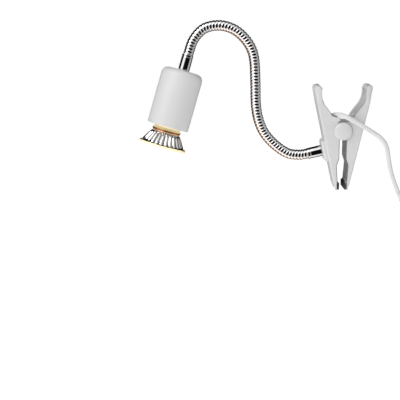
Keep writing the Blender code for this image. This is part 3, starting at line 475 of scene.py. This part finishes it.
class LIGHT_OT_finishes(Operator):
    """Make every material, and put them on the part's own solids that stay in view"""
    bl_idname = "tank_light.finishes"
    bl_label = "Finishes"

    def execute(self, context):
        tone = context.scene.lamp_colours
        surface_skin()
        finish("clamp_plastic", tone.clamp, 0.42, 0.0, (1400.0, 0.25), 0.12, 0.07, Coat_Weight=0.05)
        finish("housing_gloss", tone.housing, 0.45, 0.0, (260.0, 0.06), 0.06, 0.03, Coat_Weight=0.25,
               Coat_Roughness=0.22)
        finish("quartz_capsule", tone.glow, 0.1, Emission_Color=(1.0, 0.8, 0.5, 1), Emission_Strength=14.0)
        # name, colour, roughness, metallic, scale and depth of the grain, patchiness and tone
        for values in [
                ("chrome_plate", tone.chrome, 0.05, 1.0, (700.0, 0.04), 0.06, 0.05),
                ("zinc_steel", (0.56, 0.56, 0.57), 0.34, 1.0, (1800.0, 0.4), 0.2, 0.15),
                ("brass_strip", (0.78, 0.55, 0.24), 0.3, 1.0, (1500.0, 0.3), 0.2, 0.15),
                ("white_ceramic", (0.82, 0.8, 0.75), 0.5, 0.0, (1200.0, 0.5), 0.15, 0.12),
                ("pad_rubber", tone.rubber, 0.78, 0.0, (1600.0, 0.8), 0.12, 0.3),
                ("cord_jacket", tone.cord, 0.46, 0.0, (800.0, 0.25), 0.14, 0.08),
                ("tie_vinyl", (0.33, 0.34, 0.35), 0.55, 0.0, (1200.0, 0.4), 0.12, 0.2),
                ("rocker_plastic", tone.rocker, 0.36, 0.0, (1500.0, 0.3), 0.1, 0.12),
                ("lead_insulation", (0.6, 0.22, 0.1), 0.5, 0.0, (1500.0, 0.3), 0.08, 0.15)]:
            finish(*values)
        # A painted glow: the gold ring emits light in the colours of its painted reflection, though it is no
        # lamp.
        gold = finish("polished_gold", tone.collar, 0.22, 1.0, patchiness=0.1, Emission_Strength=0.5)
        paint_gold_reflection_and_glow(gold, tone.collar)
        mirror = finish("mirror_reflector", MIRROR, 0.06, 1.0, (600.0, 0.05), 0.05, 0.04)
        # The reflector's flute valleys get painted shade.
        paint_flute_valley_shade(mirror, context.scene.lamp_sizes.flutes)
        glowing("lit_front_glass", tone.glow, 2.6, (1.0, 0.86, 0.6), 0.25)
        dress = {
            "zinc_steel": "pivot_pin base_washer base_nut head_washer head_nut socket_bracket "
                          "socket_screw_left socket_screw_right bulb_pin_left bulb_pin_right",
            "brass_strip": "socket_contact_left socket_contact_right switch_contact plug_pin_left "
                           "plug_pin_right",
            "white_ceramic": "lamp_socket bulb_base",
            "quartz_capsule": "bulb_capsule",
            "lead_insulation": "jaw_lead_rear jaw_lead_front head_lead_left head_lead_right",
            "cord_jacket": "cord_anchor " + " ".join(f"neck_cable_{k}" for k in range(1, 8)),
        }
        for material, nodes in dress.items():
            for node in nodes.split():
                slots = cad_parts[node].data.materials
                slots.clear()
                slots.append(bpy.data.materials[material])
        return {"FINISHED"}


# ---- stage and cord ----

def matrix(*columns):
    """Three directions and a place, as an object's matrix."""
    return Matrix(np.vstack([np.column_stack(columns), [0, 0, 0, 1]]).tolist())


class LIGHT_OT_stage(Operator):
    """Make the camera, the floor, the studio light and the white surround"""
    bl_idname = "tank_light.stage"
    bl_label = "Stage"

    def execute(self, context):
        scene = context.scene
        scene.view_settings.view_transform = "Standard"
        camera = linked("camera", bpy.data.cameras.new("camera"))
        pitch, yaw, roll = (math.radians(a) for a in CAMERA_TURN)
        ahead = np.array([math.sin(yaw) * math.cos(pitch), math.cos(yaw) * math.cos(pitch), -math.sin(pitch)])
        level = np.array([math.cos(yaw), -math.sin(yaw), 0.0])
        above = np.cross(level, ahead)
        right = math.cos(roll) * level + math.sin(roll) * above
        up = -math.sin(roll) * level + math.cos(roll) * above
        camera.matrix_world = matrix(right, up, -ahead, CAMERA_PLACE)
        camera.data.lens, camera.data.sensor_width = CAMERA_LENS, CAMERA_SENSOR
        camera.data.clip_start, camera.data.clip_end = 0.01, 50
        scene.camera = camera

        level = TABLE * MM - 0.2 * MM
        corners = [(FLOOR_REACH * x, FLOOR_REACH * y, level) for x, y in ((-1, -1), (1, -1), (1, 1), (-1, 1))]
        ground = bpy.data.meshes.new("floor")
        ground.from_pydata(corners, [], [(0, 1, 2, 3)])
        floor = linked("floor", ground)
        finish("pale_floor", scene.lamp_colours.floor, 0.8, grain=(60.0, 0.05), patchiness=0.02, tone=0.01,
               Emission_Color=(1, 1, 1, 1), Emission_Strength=0.68)
        floor.data.materials.append(bpy.data.materials["pale_floor"])
        floor.visible_glossy = False

        for name, where, aim, size, power in [
                ("key", (-0.75, -0.62, 1.05), (-0.08, 0, 0.05), 0.9, 6.0),
                ("fill", (0.9, -0.9, 0.35), (0, 0, 0), 0.8, 0.15),
                ("top", (0.0, 0.25, 1.1), (-0.05, 0, 0), 0.9, 1.2)]:
            lamp = bpy.data.lights.new(name, "AREA")
            lamp.size, lamp.energy = size, power
            obj = linked(name, lamp)
            origin, ways = axes_at(where, np.array(where) - np.array(aim), (0.0, 0.1, 1.0))
            obj.matrix_world = matrix(*ways, origin)
            obj.visible_camera = False
            obj.visible_glossy = name == "key"
        self.surround(scene)
        return {"FINISHED"}

    def surround(self, scene):
        """White to the camera. For light and reflections, a bright room with a few dark panels round it."""
        world = scene.world or bpy.data.worlds.new("studio")
        scene.world = world
        world.use_nodes = True
        tree = world.node_tree
        tree.nodes.clear()
        link = tree.links.new
        out = tree.nodes.new("ShaderNodeOutputWorld")
        mix = tree.nodes.new("ShaderNodeMixShader")
        seen, room = tree.nodes.new("ShaderNodeBackground"), tree.nodes.new("ShaderNodeBackground")
        seen.inputs["Color"].default_value = (1, 1, 1, 1)
        link(tree.nodes.new("ShaderNodeLightPath").outputs["Is Camera Ray"], mix.inputs["Fac"])
        # A bright band stands round the lamp, with the dark ahead of it and behind. The right is darker, and
        # an amber glow lies low and to the left.
        room_shades = [(0.0, 0.5), (0.02, 0.3), (0.05, 0.02), (0.42, 0.02), (0.47, 2.1), (0.6, 2.4),
                       (0.82, 2.2), (0.86, 0.01), (1.0, 0.01)]
        white = self.toward(tree, (0.26, -0.95, -0.1), room_shades, (1.0, 1.0, 1.0))
        amber = self.toward(tree, (-0.55, 0.0, -0.83), [(0.0, 0.0), (0.83, 0.0), (0.92, 1.0)],
                            (0.9, 0.46, 0.2))
        shaded = self.toward(tree, (1.0, 0.1, 0.0), [(0.0, 1.0), (0.55, 1.0), (0.9, 0.4)], (1.0, 1.0, 1.0))
        both = tree.nodes.new("ShaderNodeVectorMath")
        both.operation = "MULTIPLY_ADD"
        link(white, both.inputs[0])
        link(shaded, both.inputs[1])
        link(amber, both.inputs[2])
        link(both.outputs[0], room.inputs["Color"])
        room.inputs["Strength"].default_value = 0.46
        link(room.outputs[0], mix.inputs[1])
        link(seen.outputs[0], mix.inputs[2])
        link(mix.outputs[0], out.inputs["Surface"])

    def toward(self, tree, aim, shades, colour):
        """A colour whose shade depends on the angle from aim: 0 is opposite, 1 is along it."""
        way = measured(tree, "DOT_PRODUCT", coordinates(tree, "Generated"), unit(np.array(aim)))
        share = arithmetic(tree, "MULTIPLY", arithmetic(tree, "ADD", way, 1.0), 0.5)
        return ramp(tree, share, [(position, [shade * c for c in colour]) for position, shade in shades])


def ease(value):
    value = np.clip(value, 0, 1)
    return value * value * (3 - 2 * value)


def coil_turns():
    """Almost three turns in a lower layer, from the outside in, then two and a half in an upper layer.
    The radius steps by one cord's width in a sixth of a turn, and the height once, at the inner turn."""
    angle = np.append(np.arange(0, COIL_SWEEP, 5.0), COIL_SWEEP)
    step, late = 60.0, 190.0  # degrees that a step takes, and that the upper ones wait
    inward = ease((angle - 300) / step) + ease((angle - 660) / step)
    outward = ease((angle - 1080 - late) / step) + ease((angle - 1440 - late) / step)
    radius = COIL_OUTER - COIL_TURN * (inward - outward)
    height = COIL_LOW + (COIL_HIGH - COIL_LOW) * ease((angle - 720 - 245) / step)
    height = height + 4.0 * ease((angle - 1830) / 95) ** 2
    turn = np.radians(COIL_START + angle)
    x, y = COIL_CENTRE[:, None] + radius * np.stack([np.cos(turn), np.sin(turn)])
    return np.column_stack([x, y, height])


class LIGHT_OT_cord(Operator):
    """Make the mains cord, from the clamp through the switch and the coil to the plug"""
    bl_idname = "tank_light.cord"
    bl_label = "Mains cord"

    def execute(self, context):
        turns = coil_turns()
        way_in = smooth_route(CORD_FROM_JAW + CORD_TO_COIL + [tuple(turns[0])], 3.0)
        way_out = smooth_route([tuple(turns[-1])] + CORD_TO_PLUG, 3.0)
        route = np.vstack([way_in[:-1], turns, way_out[1:]])
        # The joins are eased by averaging each point with its neighbours.
        for _ in range(3):
            route[1:-1] = route[1:-1] * 0.5 + (route[:-2] + route[2:]) * 0.25
        route = evenly(route, 3.5) * MM
        curve = bpy.data.curves.new("mains_cord", "CURVE")
        curve.dimensions = "3D"
        curve.bevel_depth = CORD_RADIUS * MM
        curve.bevel_resolution = 6
        curve.use_fill_caps = True
        spline = curve.splines.new("POLY")
        spline.points.add(len(route) - 1)
        spline.points.foreach_set("co", np.column_stack([route, np.ones(len(route))]).ravel())
        spline.use_smooth = True
        cord = linked("mains_cord", curve)
        curve.materials.append(bpy.data.materials["cord_jacket"])
        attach(cord, "clamp")
        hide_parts("cord_from_jaw", "cord_to_coil", "cord_coil", "cord_to_plug")
        return {"FINISHED"}


# ---- gooseneck ----

def neck_line():
    """The hose's middle line and the length along it of its two ends and six joints, evenly spaced."""
    line = smooth_route(NECK_ROUTE, 0.2)
    length = along(line)
    return line, length, np.linspace(0, length[-1], len(NECK_BODIES) + 1)


class LIGHT_OT_gooseneck(Operator):
    """Make the ribbed chrome hose, one length across each of its joints"""
    bl_idname = "tank_light.gooseneck"
    bl_label = "Gooseneck"

    def execute(self, context):
        sizes = context.scene.lamp_sizes
        line, length, stations = neck_line()
        way = tangents(line)
        pitch, depth = sizes.rib_pitch / MM, sizes.rib_depth / MM
        angle = np.linspace(0, 2 * math.pi, 36, endpoint=False)[None]
        middles = (stations[:-1] + stations[1:]) / 2
        cuts = np.concatenate([[0.0], middles[1:-1], [length[-1]]])
        step = pitch / 11
        for k, (low, high) in enumerate(zip(cuts[:-1], cuts[1:]), 1):
            # Rows past a cut lie just under the next length, so that both shade alike at the seam.
            rows = np.linspace(low, high, int(round((high - low) / step)) + 1)
            inset = np.zeros(len(rows))
            if k > 1:
                rows, inset = np.append([low - 2 * step, low - step], rows), np.append([0.5, 0.03], inset)
            if k < len(cuts) - 1:
                rows, inset = np.append(rows, [high + step, high + 2 * step]), np.append(inset, [0.03, 0.5])
            centre = np.column_stack([np.interp(rows, length, line[:, i]) for i in range(3)])
            ahead = unit(np.column_stack([np.interp(rows, length, way[:, i]) for i in range(3)]))
            side = unit(np.cross(np.array([[0.0, 1.0, 0.0]]), ahead))
            other = np.cross(ahead, side)
            # radius = R - depth * (1 - |sin(pi * phase)|)^p, along a helix: phase = s / pitch + a / 2 pi
            phase = rows[:, None] / pitch + angle / (2 * math.pi)
            groove = (1 - np.abs(np.sin(math.pi * phase))) ** GROOVE_POWER
            radius = (HOSE_RADIUS - inset[:, None] - depth * groove)[..., None]
            ring = np.cos(angle)[..., None] * side[:, None] + np.sin(angle)[..., None] * other[:, None]
            made = piece(f"gooseneck_{k}", centre[:, None] + radius * ring, "chrome_plate",
                         stands_in=False, sharp=180.0)
            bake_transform(made)
            last = (f"neck_hose_{k + 1}",) if k == len(cuts) - 1 else ()
            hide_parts(f"neck_hose_{k}", *last)
        return {"FINISHED"}


class LIGHT_OT_ferrules(Operator):
    """Make the plain chrome collars at the two ends of the gooseneck"""
    bl_idname = "tank_light.ferrules"
    bl_label = "Ferrules"

    def execute(self, context):
        for name, collar, axes, body in (("base_ferrule", BASE_FERRULE, FERRULE_AXES, "clamp"),
                                         ("head_ferrule", HEAD_FERRULE, HEAD, "head")):
            outline = [(2.4, 0.3), (FERRULE_RADIUS, 0.3), (FERRULE_RADIUS, 2.6), (FERRULE_RADIUS - 0.35, 2.9),
                       (FERRULE_RADIUS - 0.35, 3.3), (FERRULE_RADIUS, 3.6), (FERRULE_RADIUS, collar - 0.3),
                       (4.4, collar - 0.3), (4.4, collar + 11.5), (2.4, collar + 11.5)]
            profile = softened(outline, [0.1, 0.6, 0.15, 0.15, 0.15, 0.15, 0.4, 0.1, 0.4, 0.1], 5, closed=True)
            piece(name, turned(profile, axes, 64), "chrome_plate", body, looped=True)
        return {"FINISHED"}


# ---- clamp ----

JAW_OUTER = ([-64.0, -58.0, 0.0, 45.0, 48.0], [6.15, 8.5, 21.5, 31.4, 31.5])
JAW_INNER = ([-64.0, -56.0, -52.0, -37.0, -30.0, -9.4, -8.4, -6.4, -3.4, 0.0, 3.4, 6.4, 8.4, 9.6, 16.0,
              22.7, 28.4, 34.4, 48.0],
             [4.8, 4.8, 4.9, 6.0, 3.5, 3.5, -3.2, -6.3, -8.3, -9.0, -8.3, -6.3, -3.2, 7.9, 11.1,
              15.8, 20.4, 22.7, 23.5])
POCKET = (-55.0, 43.6)  # the hollow's lowest and highest points
WEB = ([9.0, 9.4, 10.0, 11.0, 12.0, 13.0, 14.2, 15.2, 16.0],  # the lamp side's edge above the hinge
       [6.5, 5.6, 4.4, 2.6, 2.0, 2.6, 4.6, 8.2, 11.1])
EAR_ZONE, EAR_RELIEF = 15.0, 9.4  # heights about the pin of the thicker wall and of the ear
EAR_INSIDE, EAR_TIP = 9.7, 11.7  # the lever's ears, inside the lamp side's
CAP_RADIUS = 9.5
SPRING_RADIUS, SPRING_WIRE = 5.2, 0.75
BOSS_HALF = np.array([12.0, 11.0, 4.6])  # half width, half depth and corner of the boss


def jaw_rows():
    """Heights about the pin, closer together where the outline bends, with how far each row is drawn in at
    the rounded ends and whether the section is solid there."""
    bend = quarter_turn(6)
    low = -64.0 + 1.2 * (1 - np.sin(bend))
    heights = np.concatenate([low[::-1], np.linspace(-61.6, POCKET[0], 6), [POCKET[0]],
                              np.linspace(POCKET[0] + 0.6, -15.4, 34), np.linspace(-15.0, -9.6, 8),
                              np.linspace(-9.4, 9.6, 58), np.linspace(9.9, 15.0, 8),
                              np.linspace(15.4, POCKET[1] - 0.4, 44), [POCKET[1], POCKET[1]],
                              48.0 - 4.0 * (1 - np.sin(bend))])
    drawn = np.zeros(len(heights))
    drawn[:6] = 1.2 * (1 - np.cos(bend))[::-1]
    drawn[-6:] = 3.0 * (1 - np.cos(bend))
    solid = np.zeros(len(heights), bool)
    solid[:12] = True
    solid[-7:] = True
    return heights, drawn, solid


def jaw_grid(side, edge):
    """One rounded U section per height. Along the ring: the back, a rounded corner, the flange out to its
    rounded tip, back inside and a small fillet to the hollow's floor, then the same mirrored."""
    height, drawn, solid = jaw_rows()
    outer = np.interp(height, *JAW_OUTER) - drawn
    inner = np.interp(height, *JAW_INNER) + drawn
    if side < 0:
        inner = np.minimum(inner, np.interp(height, *WEB, left=99.0, right=99.0))
    # The handles narrow towards their tops, from a crease across them.
    half = CLAMP_HALF - 2.8 * np.clip((height - 33.0) / 15.0, 0, 1)
    wall = half - FLANGE
    half = half - drawn
    tip = half.copy()
    step = inner.copy()
    if side > 0:
        wall[np.abs(height) < EAR_ZONE] = EAR_INSIDE
        ear = np.abs(height) < EAR_RELIEF
        tip[ear] = EAR_TIP
        step[ear] = np.sqrt(EAR_RELIEF**2 - height[ear] ** 2)
    floor = np.where(solid, inner, outer - BACK_PLATE)
    outer, inner, half, wall, tip, step, floor = (
        values[:, None] for values in (outer, inner, half, wall, tip, step, floor))
    edge = np.minimum(edge + 3.2 * ease((height[:, None] - 27.0) / 13.0), 0.7 * (outer - inner))
    quarter = quarter_turn(7)[None]
    fine = quarter_turn(4)[None]
    share = np.linspace(0, 1, 7)[None]
    lip, fillet = 0.6, 0.9
    gap = step - inner
    u = [outer + 0 * share[:, :3], outer - edge + edge * np.cos(quarter), outer - edge - 0.4,
         (outer - edge - 0.4) + (step + lip - outer + edge + 0.4) * share[:, 1:],
         step + lip * (gap > 0.01), inner + lip - lip * np.sin(fine), inner + lip - lip * np.cos(fine),
         inner + lip + (floor - fillet - inner - lip) * share[:, 1:], floor - fillet + fillet * np.sin(fine),
         floor + 0 * share[:, :3]]
    v = [(half - edge) * np.array([[0.0, 0.5, 0.93]]), half - edge + edge * np.sin(quarter), half,
         half + 0 * share[:, 1:], tip, tip - lip + lip * np.cos(fine), wall + lip - lip * np.sin(fine),
         wall + 0 * share[:, 1:], wall - fillet + fillet * np.cos(fine),
         (wall - fillet) * np.array([[0.93, 0.5, 0.0]])]
    u, v = (np.concatenate([x + 0 * outer for x in parts], 1) for parts in (u, v))
    limit = np.where(solid[:, None], inner, outer)
    inside = slice(u.shape[1] - 16, None)
    u[:, inside] = np.minimum(u[:, inside], limit)
    ring_u = np.concatenate([u, u[:, -2:0:-1]], 1)
    ring_v = np.concatenate([v, -v[:, -2:0:-1]], 1)
    return np.stack([PIVOT[0] + side * ring_u, ring_v, PIVOT[2] + height[:, None] + 0 * ring_u], -1)


class LIGHT_OT_jaws(Operator):
    """Make the two channel-shaped jaws, the raised boss for the gooseneck and the ribbed pads"""
    bl_idname = "tank_light.jaws"
    bl_label = "Jaws and pads"

    def execute(self, context):
        edge = context.scene.lamp_sizes.edge_round / MM
        for name, side, body in (("lamp_jaw", -1, "clamp"), ("lever_jaw", 1, "lever")):
            piece(name, jaw_grid(side, edge), "clamp_plastic", body, sharp=42.0)
        bend = quarter_turn(6)
        inset, drop = 3.4 * (1 - np.cos(bend[::-1])), 2.6 * (1 - np.sin(bend[::-1]))
        rows = np.column_stack([BOSS_HALF - inset[:, None] * (1.0, 1.0, 0.5), drop])
        rows = np.vstack([rows, [(*BOSS_HALF, BOSS_PROUD), (*BOSS_HALF, BOSS_PROUD + 1.0)]])
        piece("neck_boss", slab(rows, BOSS_AXES), "clamp_plastic", "clamp", stands_in=False)
        ridge = np.linspace(-13.0, 13.0, 105)
        for name, face, back, body in (("lamp_jaw_pad", 0.0, -2.0, "clamp"),
                                       ("lever_jaw_pad", 5.0, 7.0, "lever")):
            # grip face = a row of rounded ridges, face + depth * |sin|, along the pad
            groove = 0.35 * (1 - np.abs(np.sin(math.pi * ridge / 2.6))) * np.sign(back - face)
            front = face + groove
            rim = 0.35 * np.sign(back - face)
            rear = back + 0 * front
            ring_x = np.stack([front + rim, front, front, front, front + rim, rear, rear], 1)
            ring_z = np.array([3.5, 3.15, 0.0, -3.15, -3.5, -3.5, 3.5])[None] + 0 * ring_x
            grid = np.stack([ring_x, ridge[:, None] + 0 * ring_x, ring_z], -1)
            piece(name, grid, "pad_rubber", body, sharp=60.0)
        return {"FINISHED"}


class LIGHT_OT_hinge(Operator):
    """Make the domed caps and the spring of the clamp's hinge"""
    bl_idname = "tank_light.hinge"
    bl_label = "Hinge caps and spring"

    def execute(self, context):
        for name, back in (("pivot_cap_front", -1), ("pivot_cap_rear", 1)):
            bow = np.linspace(0, math.pi / 2 * 0.96, 12)
            dome = np.column_stack([CAP_RADIUS * np.cos(bow), 1.5 + 2.5 * np.sin(bow)])
            outline = softened([(2.3, 2.3), (2.3, 0.0), (CAP_RADIUS, 0.0), (CAP_RADIUS, 0.9), (9.2, 1.1),
                                (9.2, 1.3)], [0.1, 0.2, 0.25, 0.1, 0.1, 0.1], 4)
            profile = np.vstack([outline, dome])
            axes = axes_at(PIVOT + np.array([0, back * (CLAMP_HALF + 0.3), 0]), (0, back, 0), (0, 0, 1))
            piece(name, turned(profile, axes, 64), "clamp_plastic", "clamp",
                  sharp=40.0)
        turn = np.radians(-45 - np.arange(0, 51 * 45 + 1, 15.0))
        coil = np.column_stack([SPRING_RADIUS * np.cos(turn), np.linspace(-4.5, 7.5, len(turn)),
                                SPRING_RADIUS * np.sin(turn)])
        # Each leg ends at this height above the pin, against the inside of a jaw's back.
        leg = 22.0
        reach = 21.5 + 10.0 * leg / 48.0 - BACK_PLATE - 1.05
        lead_out = np.linspace([reach, -4.5, leg], coil[0], 12)[:-1]
        lead_in = np.linspace(coil[-1], [-reach, 7.8, leg], 12)[1:]
        path = PIVOT + np.vstack([lead_out, coil, lead_in])
        wire = swept(path, SPRING_WIRE, (0.0, 1.0, 0.0), 10)
        spring = piece("clamp_spring", wire, "zinc_steel")
        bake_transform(spring)
        return {"FINISHED"}


# ---- head ----

class LIGHT_OT_housing(Operator):
    """Make the round housing with its soft shoulder and open mouth"""
    bl_idname = "tank_light.housing"
    bl_label = "Housing"

    def execute(self, context):
        hole, inside, under = 4.7, HOUSING_RADIUS - 2.0, HOUSING_TOP + 2.5
        outline = [(hole, HOUSING_TOP), (HOUSING_RADIUS, HOUSING_TOP), (HOUSING_RADIUS, HOUSING_END),
                   (inside, HOUSING_END), (inside, under), (hole, under)]
        profile = softened(outline, [0.2, 8.4, 0.7, 0.6, 5.6, 0.2], 14, closed=True)
        piece("lamp_housing", turned(profile, HEAD, 96), "housing_gloss", "head", looped=True)
        return {"FINISHED"}


class LIGHT_OT_bulb(Operator):
    """Make the gold collar, the fluted reflector and the lit front glass with its rim"""
    bl_idname = "tank_light.bulb"
    bl_label = "Bulb"

    def execute(self, context):
        sizes = context.scene.lamp_sizes
        ring = softened([(12.5, COLLAR_TOP), (13.1, COLLAR_TOP), (15.5, 82.2), (15.5, 82.9),
                         (14.3, COLLAR_END), (12.5, COLLAR_END)], 0.4, 5, closed=True)
        piece("bulb_collar", turned(ring, HEAD, 72), "polished_gold", "bulb", looped=True)
        flutes, depth = sizes.flutes, sizes.flute_depth / MM

        def fluted(radius, height, angle):
            # r + depth * (|cos(n a / 2)| - 0.75), outside only, fading out at the collar and the rim
            share = ease((height - 86.2) / 2.6) * ease((98.0 - height) / 2.4)
            outside = radius > 13.9 + 0.62 * (height - 86.8)
            return radius + depth * share * outside * (np.abs(np.cos(flutes * angle / 2)) - 0.75)

        flare = np.linspace(0, 1, 22)
        outer = np.column_stack([15.2 + 7.4 * flare, 85.5 + 12.2 * flare])
        inner = np.column_stack([22.0 - 8.4 * flare**1.15, 98.4 - 11.6 * flare])
        neck = softened([(11.0, COLLAR_TOP), (12.2, COLLAR_TOP), (12.2, 85.3), (14.6, 85.3)], 0.2, 4)
        brim = BULB_RIM - 0.3
        lip = softened([(23.4, 97.9), (brim, 98.2), (brim, 98.6), (22.2, 98.6)], 0.15, 4)
        shell = np.vstack([neck, outer, lip, inner, [(11.0, 84.0)]])
        piece("bulb_reflector", turned(shell, HEAD, 272, fluted), "mirror_reflector", "bulb",
              looped=True, sharp=70.0)

        top = np.column_stack([np.linspace(0.6, BULB_RIM - 1.2, 16), np.full(16, GLASS_TOP)])
        across = np.linspace(BULB_RIM - 2.0, 0.6, 26)
        # The glass has shallow rings pressed into it: height = end - 0.25 (1 - |cos(1.05 r)|)
        bottom = np.column_stack([across, GLASS_END - 0.25 * (1 - np.abs(np.cos(across * 1.05)))])
        edge = softened([(BULB_RIM, GLASS_TOP), (BULB_RIM, GLASS_END), (BULB_RIM - 1.4, GLASS_END)], 0.45, 5)
        lens = np.vstack([top, edge, bottom])
        piece("bulb_front_glass", turned(lens, HEAD, 96), "lit_front_glass", "bulb", sharp=60.0)
        return {"FINISHED"}


# ---- switch, plug and tie ----

def rounded_rows(half_x, half_y, corner, low, high, edge, steps=5):
    """Rows from low to high whose top edge is rounded over: inset = e (1 - cos a), height = e (1 - sin a)."""
    bend = quarter_turn(steps)
    inset, drop = edge * (1 - np.cos(bend)), edge * (1 - np.sin(bend))
    way = math.copysign(1.0, high - low)
    top = np.column_stack([half_x - inset, half_y - inset, np.maximum(corner - inset, 0.3), high - way * drop])
    return np.vstack([[half_x, half_y, corner, low], top])


class LIGHT_OT_switch(Operator):
    """Make the two shells and the rocker of the switch in the cord"""
    bl_idname = "tank_light.switch"
    bl_label = "Cord switch"

    def execute(self, context):
        wall = 1.6
        for name, back, window in (("switch_front_shell", -1, True), ("switch_rear_shell", 1, False)):
            axes = (SWITCH, np.array([[1.0, 0, 0], [0, 0, 1.0], [0, back, 0]]))
            outside = rounded_rows(9.5, 28.0, 6.5, 0.15, 7.0, 2.6, 7)
            inside = rounded_rows(9.5 - wall, 28.0 - wall, 5.2, 0.15, 7.0 - wall, 1.2, 4)[::-1]
            if window:
                hole = [(5.5, 11.6, 1.6, 7.0), (5.1, 11.2, 1.3, 6.8), (5.1, 11.2, 1.3, 7.0 - wall)]
                rows = np.vstack([outside, hole, inside])
            else:
                rows = np.vstack([outside, [(1.0, 1.0, 0.5, 7.0)]])
                rows = np.vstack([[(1.0, 1.0, 0.5, 7.0 - wall)], inside, rows])
            piece(name, slab(rows, axes, 8), "clamp_plastic", "clamp",
                  looped=window, sharp=38.0)
        lean = math.radians(10.0)
        pivot = SWITCH - np.array([0.0, 3.0, 0.0])
        section = softened([(1.5, -9.7), (-4.9, -9.7), (-4.0, 0.0), (-4.9, 9.7), (1.5, 9.7)],
                           [0.4, 0.8, 6.0, 0.8, 0.4], 7, closed=True)
        bend = quarter_turn(5)
        inset = np.concatenate([0.5 * (1 - np.sin(bend)), 0.5 * (1 - np.sin(bend[::-1]))])
        across = np.concatenate([-4.5 + 0.5 * (1 - np.cos(bend)), 4.5 - 0.5 * (1 - np.cos(bend[::-1]))])
        shrink = 1 - inset[:, None] / 5.0
        depth, height = section[None, :, 0] * shrink, section[None, :, 1] * (1 - inset[:, None] / 9.7)
        y = depth * math.cos(lean) - height * math.sin(lean)
        z = depth * math.sin(lean) + height * math.cos(lean)
        grid = pivot + np.stack([across[:, None] + 0 * y, y, z], -1)
        piece("switch_rocker", grid, "rocker_plastic", "rocker", sharp=45.0)
        return {"FINISHED"}


class LIGHT_OT_plug(Operator):
    """Make the plug's tapered body, its ribbed relief and the tie round the coil"""
    bl_idname = "tank_light.plug"
    bl_label = "Plug and tie"

    def execute(self, context):
        axes = axes_at(PLUG_ENTRY, (-1, 0, 0), (0, 1, 0))
        along_relief = np.linspace(0.3, 15.7, 78)
        ribs = 0.5 * ease((np.cos(2 * math.pi * along_relief / 3.0) - 0.1) / 0.5)
        ribs[(along_relief < 1.2) | (along_relief > 14.2)] = 0
        relief = np.column_stack([3.4 + 1.2 * along_relief / 16.0 - ribs, along_relief])
        relief = np.vstack([[(2.55, 0.3)], relief, [(2.55, 15.7)]])
        piece("plug_relief", turned(relief, axes, 40), "cord_jacket", "clamp")
        back = PLUG_ENTRY - np.array([16.0, 0, 0])
        body = (back, np.array([[0, 1.0, 0], [0, 0, 1.0], [-1.0, 0, 0]]))
        run = np.concatenate([[0.0, 0.0, 0.25, 0.8, 1.6], np.linspace(2.6, 25.2, 46),
                              [26.0, 26.6, 26.9, 27.0]])
        # The ends are rounded over 1.2 mm: inset = 1.2 (1 - sqrt(1 - (1 - distance / 1.2)^2))
        near = 1 - np.clip(np.minimum(run, 27.0 - run) / 1.2, 0, 1)
        end = 1.2 * (1 - np.sqrt(np.clip(1 - near**2, 0, 1)))
        half = 5.85 + 7.15 * ease(run / 10.5)
        grip = 0.45 * ease((np.cos(2 * math.pi * run / 2.6) - 0.2) / 0.5) * (run > 11) * (run < 22)
        rows = np.column_stack([half - end - grip, 6.3 - end, np.full(len(run), 3.4), run])
        rows[0, :3] = (3.0, 3.0, 2.0)
        piece("plug_body", slab(rows, body, 7), "cord_jacket", "clamp", sharp=40.0)
        middle = np.array([COIL_CENTRE[0], COIL_CENTRE[1] - 30.0, (COIL_LOW + COIL_HIGH) / 2])
        loop = (middle, np.array([[0, 1.0, 0], [0, 0, 1.0], [1.0, 0, 0]]))
        band = [(8.7, 6.2, 1.9, -2.7), (8.7, 6.2, 1.9, 2.7), (8.5, 6.0, 1.7, 3.0), (8.0, 5.5, 1.2, 3.0),
                (7.8, 5.3, 1.0, 2.7), (7.8, 5.3, 1.0, -2.7), (8.0, 5.5, 1.2, -3.0), (8.5, 6.0, 1.7, -3.0)]
        piece("cord_tie", slab(band, loop, 6), "tie_vinyl", "clamp", looped=True)
        return {"FINISHED"}


OPERATORS = [LIGHT_OT_finishes, LIGHT_OT_stage, LIGHT_OT_gooseneck, LIGHT_OT_ferrules, LIGHT_OT_jaws,
             LIGHT_OT_hinge, LIGHT_OT_housing, LIGHT_OT_bulb, LIGHT_OT_switch, LIGHT_OT_plug, LIGHT_OT_cord]


class LIGHT_PT_panel(Panel):
    """The light's pieces, sizes and colours"""
    bl_label = "Tank light"
    bl_idname = "LIGHT_PT_panel"
    bl_space_type = "VIEW_3D"
    bl_region_type = "UI"
    bl_category = "Tank light"

    def draw(self, context):
        for group in (context.scene.lamp_sizes, context.scene.lamp_colours):
            for name in group.bl_rna.properties.keys():
                if name not in ("rna_type", "name"):
                    self.layout.prop(group, name)
        for operator in OPERATORS:
            self.layout.operator(operator.bl_idname)


CLASSES = [LampSizes, LampColours, *OPERATORS, LIGHT_PT_panel]


def register():
    for made in CLASSES:
        bpy.utils.register_class(made)
    bpy.types.Scene.lamp_sizes = PointerProperty(type=LampSizes)
    bpy.types.Scene.lamp_colours = PointerProperty(type=LampColours)


def unregister():
    del bpy.types.Scene.lamp_sizes, bpy.types.Scene.lamp_colours
    for made in reversed(CLASSES):
        bpy.utils.unregister_class(made)


def main():
    register()
    for operator in OPERATORS:
        group, name = operator.bl_idname.split(".")
        getattr(getattr(bpy.ops, group), name)()


if __name__ == "__main__":
    main()
